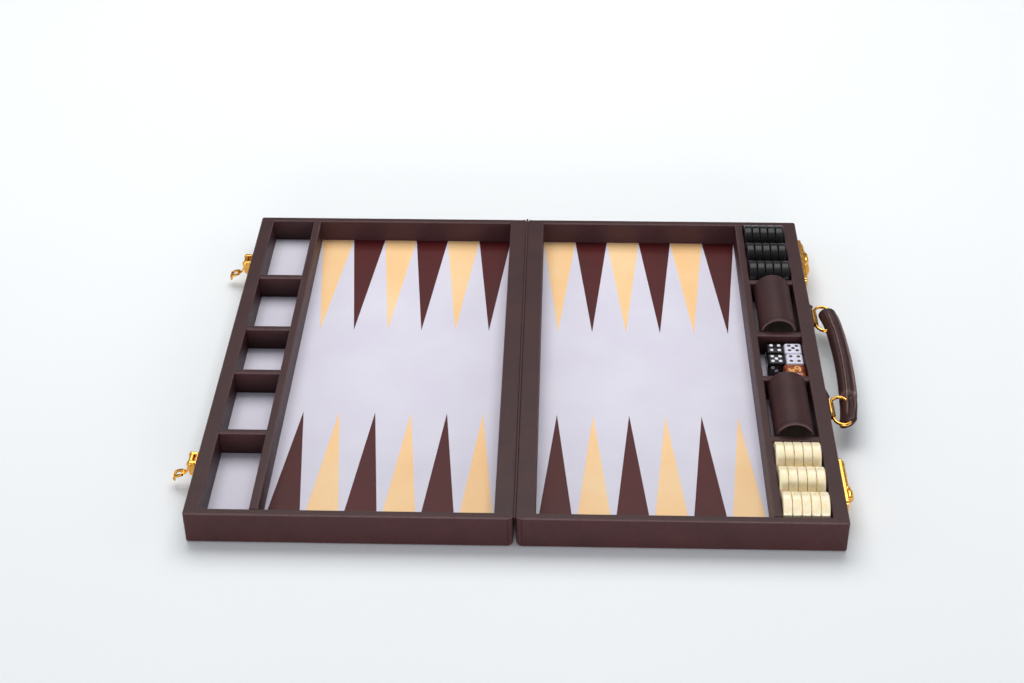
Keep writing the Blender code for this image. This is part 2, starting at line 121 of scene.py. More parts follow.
class Surface:
    """Closed surfaces collected into one mesh, in millimetres: grids of points turned to face outwards."""

    def __init__(self):
        self.points, self.faces, self.slots, self.marks, self.count = [], [], [], [], 0

    def grid(self, points, slot=0, mark=0.0, ring=False):
        """Adds a grid that closes on itself across its columns. Each cell is a four-sided face. Its two ends
        are closed by one face each, or its last row joins the first if ring is true."""
        points = np.asarray(points, float)
        rows, cols, _ = points.shape
        index = np.arange(rows * cols).reshape(rows, cols)
        if ring:
            index = np.concatenate([index, index[:1]])
        near = np.roll(index, -1, 1)
        quads = np.stack([index[:-1], near[:-1], near[1:], index[1:]], -1).reshape(-1, 4)
        flat = points.reshape(-1, 3)
        # volume under the faces tells which way they point
        p = flat - flat.mean(0)
        volume = (np.cross(p[quads[:, 0]], p[quads[:, 1]]) * p[quads[:, 2]]).sum() \
            + (np.cross(p[quads[:, 0]], p[quads[:, 2]]) * p[quads[:, 3]]).sum()
        ends = []
        if not ring:
            for row, turn in ((index[0], -1), (index[-1], 1)):
                rim = p[row]
                if np.ptp(rim, 0).max() > 1e-6:
                    ends.append(row[::turn])
                    last = row[::turn]
                    volume += (np.cross(p[last[:1].repeat(cols - 2)], p[last[1:-1]]) * p[last[2:]]).sum()
        slot = np.broadcast_to(np.asarray(slot)[..., None] if np.ndim(slot) else slot, (len(index) - 1, cols))
        quads = quads[:, ::-1] if volume < 0 else quads
        self.faces += (quads + self.count).tolist()
        self.slots += slot.ravel().tolist()
        for k, end in enumerate(ends):
            self.faces.append((end[::-1] if volume < 0 else end).tolist())
            self.faces[-1] = [v + self.count for v in self.faces[-1]]
            self.slots.append(int(slot[0 if k == 0 and len(ends) == 2 else -1, 0]))
        self.points.append(flat)
        self.marks.append(np.broadcast_to(np.asarray(mark, float), (rows, cols)).ravel())
        self.count += rows * cols
        return self

    def lathe(self, profile, centre, axis, steps=64, slot=0, mark=0.0):
        """Turns a profile of (place on the axis, radius) about an axis through centre: each point goes round
        a circle of its radius. The profile's ends lie on the axis, or meet where it is a ring."""
        a = np.radians(np.linspace(0, 360, steps, endpoint=False))
        along, radius = np.asarray(profile, float).T
        out = np.empty((len(along), steps, 3))
        i, j, k = {"x": (0, 1, 2), "y": (1, 2, 0), "z": (2, 0, 1)}[axis]
        out[..., i] = along[:, None]
        out[..., j] = radius[:, None] * np.cos(a)
        out[..., k] = radius[:, None] * np.sin(a)
        mark = np.broadcast_to(np.asarray(mark, float).reshape(-1, 1), (len(along), steps))
        ring = radius[0] > 1e-6
        return self.grid(out + np.asarray(centre, float), slot, mark, ring)

    def tube(self, path, normal, across, section, ring=False, slot=0, mark=0.0):
        """Carries a section along a path: each point is the path's point plus the section's two numbers along
        the normal and the across directions there. section is (points, 2), or one per path point."""
        path = np.asarray(path, float)
        section = np.broadcast_to(section, (len(path),) + np.shape(section)[-2:])
        normal = np.broadcast_to(normal, path.shape)
        across = np.broadcast_to(across, path.shape)
        points = path[:, None] + section[..., :1] * normal[:, None] + section[..., 1:] * across[:, None]
        return self.grid(points, slot, mark, ring)

    def place(self, matrix):
        """Moves every point collected so far by a 4 by 4 matrix."""
        m = np.array(matrix)
        self.points = [p @ m[:3, :3].T + m[:3, 3] for p in self.points]
        return self

    def piece(self, name, finishes, body, slot, replaces=(), sharp=38.0, bevel=0.0):
        """Makes the mesh object, merges poles, shades it and ties it to its body."""
        mesh = bpy.data.meshes.new(name)
        mesh.from_pydata((np.concatenate(self.points) * MM).tolist(), [], self.faces)
        mesh.polygons.foreach_set("material_index", np.array(self.slots, np.int32))
        # marks that pale the leather: rubbing, and a painted highlight along rounded edges and welts
        wear = mesh.attributes.new("wear", "FLOAT", "POINT")
        wear.data.foreach_set("value", np.concatenate(self.marks).astype(np.float32))
        for finish in finishes:
            mesh.materials.append(finish)
        return finish_piece(mesh, name, body, slot, replaces, sharp, bevel)


def finish_piece(mesh, name, body, slot, replaces=(), sharp=38.0, bevel=0.0):
    """Welds points that coincide, keeps edges sharper than the angle, and adds the object to the set."""
    work = bmesh.new()
    work.from_mesh(mesh)
    bmesh.ops.remove_doubles(work, verts=work.verts, dist=1e-6)
    work.to_mesh(mesh)
    work.free()
    mesh.validate()
    mesh.shade_smooth()
    mesh.set_sharp_from_angle(angle=math.radians(sharp))
    ob = bpy.data.objects.new(name, mesh)
    bpy.context.scene.collection.objects.link(ob)
    if bevel:
        edge = ob.modifiers.new("Edge rounding", "BEVEL")
        edge.width, edge.segments, edge.limit_method = bevel * MM, 2, "ANGLE"
        edge.angle_limit = math.radians(sharp)
        edge.harden_normals = False
        mesh.set_sharp_from_angle(angle=math.radians(100))
    even = ob.modifiers.new("Even shading", "WEIGHTED_NORMAL")
    even.weight, even.keep_sharp = 50, True
    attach(ob, body)
    if replaces:
        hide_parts(*replaces)
    return ob


def rounded_section(half_w, half_h, radius, steps=4):
    """Closed section of a bar with four rounded edges, as (across, up)."""
    half_w, half_h = np.atleast_1d(half_w).astype(float), np.atleast_1d(half_h).astype(float)
    a = np.radians(np.linspace(0, 90, steps + 1))
    radius = np.minimum(radius, 0.98 * np.minimum(half_w, half_h))[:, None]
    out = []
    for k, (sx, sy) in enumerate(((1, 1), (-1, 1), (-1, -1), (1, -1))):
        turn = a + math.pi / 2 * k
        out.append(np.stack([sx * (half_w[:, None] - radius) + radius * np.cos(turn),
                             sy * (half_h[:, None] - radius) + radius * np.sin(turn)], -1))
    out = np.concatenate(out, 1)
    return out[0] if len(out) == 1 else out


# ------------------------------------------------------------------ finishes
def linear(hexcode):
    """An sRGB hex colour as linear red, green, blue."""
    c = np.array([int(hexcode[i:i + 2], 16) / 255 for i in (1, 3, 5)])
    return tuple(float(v) for v in np.where(c <= 0.04045, c / 12.92, ((c + 0.055) / 1.055) ** 2.4))


def add(tree, kind, inputs=None, stops=None, **settings):
    """Adds one node. inputs are numbers, colours or other nodes' outputs by socket name or place."""
    node = tree.nodes.new("ShaderNode" + kind)
    for key, value in settings.items():
        setattr(node, key, value)
    for key, value in (inputs or {}).items():
        if isinstance(value, bpy.types.NodeSocket):
            tree.links.new(value, node.inputs[key])
        elif isinstance(value, (tuple, list)) and len(value) == 3 and node.inputs[key].type == "RGBA":
            node.inputs[key].default_value = (*value, 1.0)
        else:
            node.inputs[key].default_value = value
    if stops:
        ramp = node.color_ramp
        for element, (place, colour) in zip((ramp.elements[0], ramp.elements[1]), (stops[0], stops[-1])):
            element.position, element.color = place, (*colour, 1.0)
        for place, colour in stops[1:-1]:
            ramp.elements.new(place).color = (*colour, 1.0)
    return node


def per_mm(size):
    """Pattern scale on Object coordinates for a feature of that many millimetres."""
    return 1.0 / (size * MM)


def begin(name):
    """Empty material with its output and Object coordinates."""
    material = bpy.data.materials.new(name)
    material.use_nodes = True
    tree = material.node_tree
    tree.nodes.clear()
    output = add(tree, "OutputMaterial")
    where = add(tree, "TexCoord").outputs["Object"]
    return material, tree, output, where


def tint(tree, factor, dark, light):
    """Mixes two colours by a factor."""
    return add(tree, "Mix", {0: factor, 6: dark, 7: light}, data_type="RGBA").outputs[2]


def calf_leather(name, dark, light, worn_and_highlit, roughness=0.46, grain=1.0, specular=0.2):
    """Chrome-tanned calf with a fine printed grain, glued over board and waxed.

    Pebbles about a millimetre across break up the highlights, slow clouds of dye shift the brown, crease lines
    in the grain are darker by dye and by painted shade, and marked edges are paler and smoother,
    by rubbing and by a painted highlight.
    """
    material, tree, output, where = begin(name)
    clouds = add(tree, "TexNoise", {"Vector": where, "Scale": per_mm(38), "Detail": 4.0, "Roughness": 0.6})
    fibres = add(tree, "TexNoise", {"Vector": where, "Scale": per_mm(3.2), "Detail": 5.0, "Roughness": 0.65})
    pebbles = add(tree, "TexVoronoi", {"Vector": where, "Scale": per_mm(1.15 * grain), "Randomness": 1.0},
                  feature="SMOOTH_F1")
    pores = add(tree, "TexVoronoi", {"Vector": where, "Scale": per_mm(2.6 * grain), "Randomness": 1.0},
                feature="DISTANCE_TO_EDGE")
    spread = add(tree, "MapRange", {0: clouds.outputs["Fac"], 1: 0.34, 2: 0.68})
    colour = tint(tree, spread.outputs[0], dark, light)
    # the grain's crease lines darken the colour: partly dye held in the grain, partly painted shade in the
    # creases
    creases = add(tree, "MapRange", {0: pores.outputs["Distance"], 1: 0.0, 2: 0.10, 3: 0.86, 4: 1.0})
    shade = add(tree, "MapRange", {0: fibres.outputs["Fac"], 1: 0.3, 2: 0.7, 3: 0.90, 4: 1.08})
    depth = add(tree, "Math", {0: creases.outputs[0], 1: shade.outputs[0]}, operation="MULTIPLY")
    colour = add(tree, "VectorMath", {0: colour, 3: depth.outputs[0]}, operation="SCALE").outputs[0]
    # pale towards the marked colour where the marks lie: partly rubbing, partly a painted highlight on rounded
    # rims, divider tops, cup lips and grip welts
    rubbed_and_highlit = add(tree, "Attribute", attribute_name="wear").outputs["Fac"]
    patchy = add(tree, "MapRange", {0: fibres.outputs["Fac"], 1: 0.25, 2: 0.75, 3: 0.55, 4: 1.0})
    rubbed_and_highlit = add(tree, "Math", {0: rubbed_and_highlit, 1: patchy.outputs[0]}, operation="MULTIPLY")
    colour = tint(tree, rubbed_and_highlit.outputs[0], colour, worn_and_highlit)
    gloss = add(tree, "MapRange",
                {0: fibres.outputs["Fac"], 1: 0.3, 2: 0.7, 3: roughness - 0.05, 4: roughness + 0.06})
    gloss = add(tree, "Math", {0: gloss.outputs[0], 1: add(tree, "Math", {0: rubbed_and_highlit.outputs[0], 1: 0.10},
                operation="MULTIPLY").outputs[0]}, operation="SUBTRACT")
    height = add(tree, "Math", {0: pebbles.outputs["Distance"], 1: -0.9}, operation="MULTIPLY")
    height = add(tree, "Math", {0: creases.outputs[0], 1: height.outputs[0]}, operation="ADD")
    height = add(tree, "Math", {0: fibres.outputs["Fac"], 1: 0.7, 2: height.outputs[0]},
                 operation="MULTIPLY_ADD")
    bump = add(tree, "Bump", {"Strength": 0.30, "Distance": 0.16 * MM, "Height": height.outputs[0]})
    shader = add(tree, "BsdfPrincipled", {"Base Color": colour, "Roughness": gloss.outputs[0],
                                          "Specular IOR Level": specular, "IOR": 1.5,
                                          "Normal": bump.outputs["Normal"]})
    tree.links.new(shader.outputs[0], output.inputs[0])
    return material


def nappa_lining(name, shade, light, roughness=0.52, specular=0.4):
    """Drum-dyed nappa skived thin and laid on board: nearly plain, with a soft cloud in the dye and a
    close grain that keeps the sheen broad."""
    material, tree, output, where = begin(name)
    clouds = add(tree, "TexNoise", {"Vector": where, "Scale": per_mm(60), "Detail": 3.0, "Roughness": 0.5})
    grain = add(tree, "TexVoronoi", {"Vector": where, "Scale": per_mm(0.8), "Randomness": 1.0},
                feature="SMOOTH_F1")
    nap = add(tree, "TexNoise", {"Vector": where, "Scale": per_mm(2.0), "Detail": 4.0, "Roughness": 0.6})
    spread = add(tree, "MapRange", {0: clouds.outputs["Fac"], 1: 0.3, 2: 0.7})
    colour = tint(tree, spread.outputs[0], shade, light)
    fleck = add(tree, "MapRange", {0: nap.outputs["Fac"], 1: 0.3, 2: 0.7, 3: 0.975, 4: 1.02})
    colour = add(tree, "VectorMath", {0: colour, 3: fleck.outputs[0]}, operation="SCALE").outputs[0]
    gloss = add(tree, "MapRange",
                {0: nap.outputs["Fac"], 1: 0.3, 2: 0.7, 3: roughness - 0.04, 4: roughness + 0.05})
    height = add(tree, "Math", {0: grain.outputs["Distance"], 1: -0.6, 2: nap.outputs["Fac"]},
                 operation="MULTIPLY_ADD")
    bump = add(tree, "Bump", {"Strength": 0.18, "Distance": 0.10 * MM, "Height": height.outputs[0]})
    shader = add(tree, "BsdfPrincipled", {"Base Color": colour, "Roughness": gloss.outputs[0],
                                          "Specular IOR Level": specular, "Normal": bump.outputs["Normal"]})
    tree.links.new(shader.outputs[0], output.inputs[0])
    return material


def lacquered_brass(name, colour, shadow, roughness=0.2):
    """Polished and lacquered brass: a warm yellow metal with faint cloudy tarnish under the lacquer and
    hairline scratches from polishing."""
    material, tree, output, where = begin(name)
    cloud = add(tree, "TexNoise", {"Vector": where, "Scale": per_mm(7), "Detail": 4.0, "Roughness": 0.6})
    stretch = add(tree, "Mapping", {"Vector": where, "Scale": (1.0, 0.12, 1.0)})
    scratch = add(tree, "TexNoise", {"Vector": stretch.outputs[0], "Scale": per_mm(0.35), "Detail": 3.0})
    spread = add(tree, "MapRange", {0: cloud.outputs["Fac"], 1: 0.35, 2: 0.7})
    base = tint(tree, spread.outputs[0], shadow, colour)
    gloss = add(tree, "MapRange",
                {0: scratch.outputs["Fac"], 1: 0.3, 2: 0.7, 3: roughness - 0.05, 4: roughness + 0.08})
    bump = add(tree, "Bump", {"Strength": 0.10, "Distance": 0.03 * MM, "Height": scratch.outputs["Fac"]})
    shader = add(tree, "BsdfPrincipled", {"Base Color": base, "Metallic": 1.0, "Roughness": gloss.outputs[0],
                                          "Normal": bump.outputs["Normal"]})
    tree.links.new(shader.outputs[0], output.inputs[0])
    return material


def cast_resin(name, dark, light, roughness, streak=0.0, coat=0.0, glow=0.0, specular=0.5):
    """Cast phenolic or urea resin, turned and buffed: a smooth body with slow colour clouds, faint turning
    streaks and a polished skin."""
    material, tree, output, where = begin(name)
    cloud = add(tree, "TexNoise", {"Vector": where, "Scale": per_mm(14), "Detail": 3.0, "Roughness": 0.55})
    along = add(tree, "Mapping", {"Vector": where, "Scale": (1.0, 0.16, 0.16)})
    lines = add(tree, "TexNoise", {"Vector": along.outputs[0], "Scale": per_mm(1.1), "Detail": 3.0})
    blend = add(tree, "Mix", {0: streak, 2: cloud.outputs["Fac"], 3: lines.outputs["Fac"]}, data_type="FLOAT")
    spread = add(tree, "MapRange", {0: blend.outputs[0], 1: 0.3, 2: 0.7})
    base = tint(tree, spread.outputs[0], dark, light)
    smear = add(tree, "TexNoise", {"Vector": where, "Scale": per_mm(4.5), "Detail": 4.0})
    gloss = add(tree, "MapRange",
                {0: smear.outputs["Fac"], 1: 0.3, 2: 0.7, 3: roughness * 0.8, 4: roughness * 1.3})
    bump = add(tree, "Bump", {"Strength": 0.05, "Distance": 0.05 * MM, "Height": smear.outputs["Fac"]})
    shader = add(tree, "BsdfPrincipled", {"Base Color": base, "Roughness": gloss.outputs[0], "IOR": 1.54,
                                          "Specular IOR Level": specular,
                                          "Coat Weight": coat, "Coat Roughness": 0.06,
                                          "Subsurface Weight": glow, "Subsurface Scale": 2.0 * MM,
                                          "Subsurface Radius": (1.0, 0.5, 0.2),
                                          "Normal": bump.outputs["Normal"]})
    tree.links.new(shader.outputs[0], output.inputs[0])
    return material


def tortoise_resin(name, dark, amber, gold):
    """Cellulose acetate in tortoiseshell, cast in swirls and polished: dark brown islands drift through
    a red amber body, with a few golden windows."""
    material, tree, output, where = begin(name)
    warp = add(tree, "TexNoise", {"Vector": where, "Scale": per_mm(9), "Detail": 2.0})
    shift = add(tree, "VectorMath", {0: warp.outputs["Color"], 3: 9 * MM}, operation="SCALE")
    moved = add(tree, "VectorMath", {0: where, 1: shift.outputs[0]}, operation="ADD")
    swirl = add(tree, "TexNoise",
                {"Vector": moved.outputs[0], "Scale": per_mm(6.5), "Detail": 3.0, "Roughness": 0.5})
    base = add(tree, "ValToRGB", {0: swirl.outputs["Fac"]}, stops=[(0.36, dark), (0.52, amber), (0.72, gold)])
    shader = add(tree, "BsdfPrincipled", {"Base Color": base.outputs[0], "Roughness": 0.16, "IOR": 1.5,
                                          "Coat Weight": 0.5, "Coat Roughness": 0.05})
    tree.links.new(shader.outputs[0], output.inputs[0])
    return material


def enamel(name, colour, roughness=0.3):
    """Stoved enamel paint flooded into a drilled or engraved mark; slight pooling shows as a small shift
    of tone."""
    material, tree, output, where = begin(name)
    pool = add(tree, "TexNoise", {"Vector": where, "Scale": per_mm(1.5), "Detail": 2.0})
    tone = add(tree, "MapRange", {0: pool.outputs["Fac"], 1: 0.3, 2: 0.7, 3: 0.9, 4: 1.0})
    base = add(tree, "VectorMath", {0: colour, 3: tone.outputs[0]}, operation="SCALE")
    shader = add(tree, "BsdfPrincipled", {"Base Color": base.outputs[0], "Roughness": roughness})
    tree.links.new(shader.outputs[0], output.inputs[0])
    return material


def waxed_thread(name, colour):
    """Waxed linen thread, laid in a slant twist that shows as fine bars across each stitch."""
    material, tree, output, where = begin(name)
    twist = add(tree, "TexWave", {"Vector": where, "Scale": per_mm(5.0), "Distortion": 1.5},
                bands_direction="DIAGONAL")
    tone = add(tree, "MapRange", {0: twist.outputs["Fac"], 3: 0.7, 4: 1.1})
    base = add(tree, "VectorMath", {0: colour, 3: tone.outputs[0]}, operation="SCALE")
    bump = add(tree, "Bump", {"Strength": 0.4, "Distance": 0.1 * MM, "Height": twist.outputs["Fac"]})
    shader = add(tree, "BsdfPrincipled", {"Base Color": base.outputs[0], "Roughness": 0.55,
                                          "Normal": bump.outputs["Normal"]})
    tree.links.new(shader.outputs[0], output.inputs[0])
    return material


def studio_paper(name, colour):
    """Matt seamless background paper, a touch cooler where its fibres lie thick; it glows with painted light,
    more the further it lies.
    """
    material, tree, output, where = begin(name)
    fibre = add(tree, "TexNoise", {"Vector": where, "Scale": per_mm(400), "Detail": 2.0})
    tone = add(tree, "MapRange", {0: fibre.outputs["Fac"], 1: 0.3, 2: 0.7, 3: 0.985, 4: 1.0})
    base = add(tree, "VectorMath", {0: colour, 3: tone.outputs[0]}, operation="SCALE")
    # painted light: the paper glows more the further it lies from the middle, keeping the far floor bright
    span = add(tree, "VectorMath", {0: where}, operation="LENGTH")
    glow = add(tree, "MapRange", {0: span.outputs["Value"], 1: 1.3, 2: 4.0, 3: 0.0, 4: 0.62})
    shader = add(tree, "BsdfPrincipled", {"Base Color": base.outputs[0], "Roughness": 0.9,
                                          "Specular IOR Level": 0.1, "Emission Color": colour,
                                          "Emission Strength": glow.outputs[0]})
    tree.links.new(shader.outputs[0], output.inputs[0])
    return material


def finish(key):
    """The finish of that name, made from the colours in the settings the first time it is asked for."""
    names = {"case": "Case_calf_leather", "cup": "Dice_cup_calf_leather",
             "cup_inside": "Dice_cup_suede_lining",
             "handle": "Handle_calf_leather", "lining": "Nappa_lining_white",
             "dark_point": "Nappa_point_burgundy",
             "light_point": "Nappa_point_apricot", "brass": "Lacquered_brass", "hinge": "Browned_steel_hinge",
             "ivory": "Cast_resin_ivory", "black": "Cast_resin_black", "white": "Cast_acrylic_white",
             "pip_white": "Pip_enamel_white", "pip_black": "Pip_enamel_black",
             "tortoise": "Tortoiseshell_acetate",
             "gilt": "Gilt_enamel", "thread": "Waxed_thread"}
    if names[key] in bpy.data.materials:
        return bpy.data.materials[names[key]]
    c = bpy.context.scene.backgammon_finishes
    rgb = {k: tuple(getattr(c, k)) for k in c.bl_rna.properties.keys() if k not in ("rna_type", "name")}
    dim = {k: tuple(v * 0.72 for v in rgb[k]) for k in rgb}
    make = {
        "case": lambda n: calf_leather(n, rgb["leather_dark"], rgb["leather"], rgb["leather_worn"], 0.44),
        "cup": lambda n: calf_leather(n, rgb["leather_dark"], rgb["cup_leather"], rgb["leather_worn"], 0.5,
                                      0.8),
        "cup_inside": lambda n: nappa_lining(n, dim["cup_inside"], rgb["cup_inside"], 0.8),
        "handle": lambda n: calf_leather(n, rgb["leather_dark"], rgb["handle_leather"], rgb["handle_worn"],
                                         0.34, 0.8),
        "lining": lambda n: nappa_lining(n, rgb["lining_shade"], rgb["lining"], 0.5),
        "dark_point": lambda n: nappa_lining(n, rgb["dark_point_shade"], rgb["dark_point"], 0.45, 0.2),
        "light_point": lambda n: nappa_lining(n, rgb["light_point_shade"], rgb["light_point"], 0.42),
        "brass": lambda n: lacquered_brass(n, rgb["brass"], rgb["brass_shade"], 0.2),
        "hinge": lambda n: lacquered_brass(n, rgb["hinge"], dim["hinge"], 0.42),
        "ivory": lambda n: cast_resin(n, rgb["ivory_shade"], rgb["ivory"], 0.28, 0.7, 0.2, 0.4),
        "black": lambda n: cast_resin(n, dim["black"], rgb["black"], 0.24, 0.2, 0.0, 0.0, 0.22),
        "white": lambda n: cast_resin(n, rgb["white_shade"], rgb["white"], 0.18, 0.0, 0.3, 0.05),
        "pip_white": lambda n: enamel(n, rgb["white"], 0.35),
        "pip_black": lambda n: enamel(n, rgb["black"], 0.35),
        "tortoise": lambda n: tortoise_resin(n, rgb["tortoise_dark"], rgb["tortoise"], rgb["tortoise_gold"]),
        "gilt": lambda n: enamel(n, rgb["gilt"], 0.3),
        "thread": lambda n: waxed_thread(n, rgb["leather"]),
    }[key]
    return make(names[key])


# ------------------------------------------------------------------ settings
def length(name, text, value, low=0.0):
    """A length in metres that a user may change."""
    return FloatProperty(name=name, description=text, default=value * MM, min=low, unit="LENGTH",
                         subtype="DISTANCE",
                         precision=5)


def colour(name, text, hexcode):
    """A colour that a user may change."""
    return FloatVectorProperty(name=name, description=text, default=linear(hexcode), size=3, min=0.0, max=1.0,
                               subtype="COLOR")


class BackgammonCase(bpy.types.PropertyGroup):
    """Sizes of the case, its dividers and its playing surfaces."""
    rim_outer: length("Rim outer edge", "Rounding of the leather where it turns over the rim's outside", 1.5)
    rim_inner: length("Rim inner edge", "Rounding of the leather where it turns into the well", 1.25)
    rim_fold: length("Rim fold edge", "Rounding of the leather beside the fold", 0.45)
    base_edge: length("Base edge", "Rounding along the underside", 1.3)
    spine_edge: length("Spine edge", "Rounding of the underside along the folding edge", 4.2)
    corner: length("Corner", "Rounding of the upright outer corners", 2.2)
    spine_corner: length("Spine corner", "Rounding of the upright corners beside the fold", 2.6)
    turn_in: length("Turn-in", "Distance of the pressed turn-in line from the folding edge", 4.4)
    divider_edge: length("Divider edge", "Rounding along the top of dividers and partitions", 1.7)
    point_rise: length("Point thickness", "How far the laid points stand above the lining", 0.14)
    point_reach: length("Point length", "Length of a point from the wall to its tip", 157.9)
    divider_play: length("Divider from hinge", "Hinge line to the play side of the divider", 209.8)
    points: IntProperty(name="Points a side", description="Points along one side of one half", default=6,
                        min=1)


class BackgammonPieces(bpy.types.PropertyGroup):
    """Sizes of the playing pieces."""
    checker_edge: length("Checker edge", "Rounding of a checker's rim", 1.2)
    checker_dish: length("Checker dish", "Depth of the turned hollow in a checker's face", 0.5)
    cup_wall: length("Cup wall", "Thickness of a dice cup's wall", 2.2)
    cup_base: length("Cup base", "Thickness of a dice cup's base", 3.0)
    die_edge: length("Die edge", "Rounding of a die's corners", 2.4)
    pip: length("Pip radius", "Radius of a pip", 1.72)
    pip_step: length("Pip spacing", "Distance from the middle of a face to its outer pips", 3.5)
    cube_edge: length("Doubling cube edge", "Rounding of the doubling cube's corners", 4.0)


class BackgammonMetal(bpy.types.PropertyGroup):
    """Sizes of the brassware and the handle."""
    ring_wire: length("Ring wire", "Radius of the handle ring's wire", 1.45)
    hasp_length: length("Hasp length", "Hinge axis of a hasp to its end", 26.4)
    hasp_eye: length("Hasp eye", "Width of the square eye", 5.2)
    welt: length("Handle welt", "Height of the two sewn welts along the grip", 1.1)


class BackgammonFinishes(bpy.types.PropertyGroup):
    """Colours of every finish."""
    leather: colour("Leather", "Case leather where the dye lies thin", "#442727")
    leather_dark: colour("Leather, deep", "Case leather where the dye lies thick", "#3b2223")
    # paler colour of marked edges: rubbing, and a painted highlight on rounded rims and lips
    leather_worn: colour("Leather, rubbed", "Edges paler by rubbing and painted highlight", "#6b5354")
    cup_leather: colour("Cup leather", "Dice cup leather", "#432626")
    cup_inside: colour("Cup lining", "Inside of the dice cups", "#cdc3b8")
    handle_leather: colour("Handle leather", "Leather of the grip", "#391f20")
    # paler colour of the grip's welts: a painted highlight along them, and rubbing
    handle_worn: colour("Handle leather, rubbed", "Welts of the grip, paler by rubbing and painted highlight", "#94766e")
    lining: colour("Lining", "Playing surface and tray floors", "#e0dce9")
    lining_shade: colour("Lining, deep", "Playing surface where the dye lies thick", "#d9d4e3")
    dark_point: colour("Dark point", "Dark points", "#541718")
    dark_point_shade: colour("Dark point, deep", "Dark points where the dye lies thick", "#4a1718")
    light_point: colour("Light point", "Light points", "#ffd8a3")
    light_point_shade: colour("Light point, deep", "Light points where the dye lies thick", "#fdca8c")
    brass: colour("Brass", "Polished brass", "#ffc160")
    brass_shade: colour("Brass, deep", "Brass under a thicker lacquer", "#e6a648")
    hinge: colour("Hinge", "Browned hinge", "#6a5048")
    ivory: colour("Ivory", "Light checkers", "#fff3d6")
    ivory_shade: colour("Ivory, deep", "Streaks in the light checkers", "#ffe4b4")
    black: colour("Black", "Dark checkers, dark dice and black pips", "#1b1719")
    white: colour("White", "Light dice and white pips", "#f3effc")
    white_shade: colour("White, deep", "Clouds in the light dice", "#e6e1f4")
    tortoise: colour("Tortoiseshell", "Body of the doubling cube", "#8e3d1c")
    tortoise_dark: colour("Tortoiseshell, deep", "Dark islands of the doubling cube", "#5a1f12")
    tortoise_gold: colour("Tortoiseshell, gold", "Golden windows of the doubling cube", "#b8621f")
    gilt: colour("Gilt", "Numerals of the doubling cube", "#f0a640")


class BackgammonStage(bpy.types.PropertyGroup):
    """Floor, light and camera."""
    paper: colour("Paper", "Floor paper", "#f5f8f9")
    sky: colour("Fill light", "Colour of the light from all round", "#e4eefa")
    fill: FloatProperty(name="Fill strength", description="Strength of the light from all round", default=0.2,
                        min=0.0)
    key: FloatProperty(name="Key power", description="Power of the softbox behind", default=37.5, min=0.0,
                       subtype="POWER")
    front: FloatProperty(name="Front power", description="Power of the low softbox in front", default=50.0,
                         min=0.0,
                         subtype="POWER")
    over: FloatProperty(name="Overhead power", description="Power of the wide softbox overhead", default=9.0,
                        min=0.0,
                        subtype="POWER")
    side: FloatProperty(name="Side power", description="Power of each softbox at the sides", default=4.0,
                        min=0.0,
                        subtype="POWER")
    lens: FloatProperty(name="Lens", description="Focal length", default=62.26, min=10.0,
                        subtype="DISTANCE_CAMERA")


# ------------------------------------------------------------------ operators
class Maker(bpy.types.Operator):
    """Shared base: runs make() and reports that it is done."""
    bl_idname = "backgammon.maker"
    bl_label = "Backgammon piece"
    bl_options = {"REGISTER", "UNDO"}

    def execute(self, context):
        self.make(context)
        return {"FINISHED"}


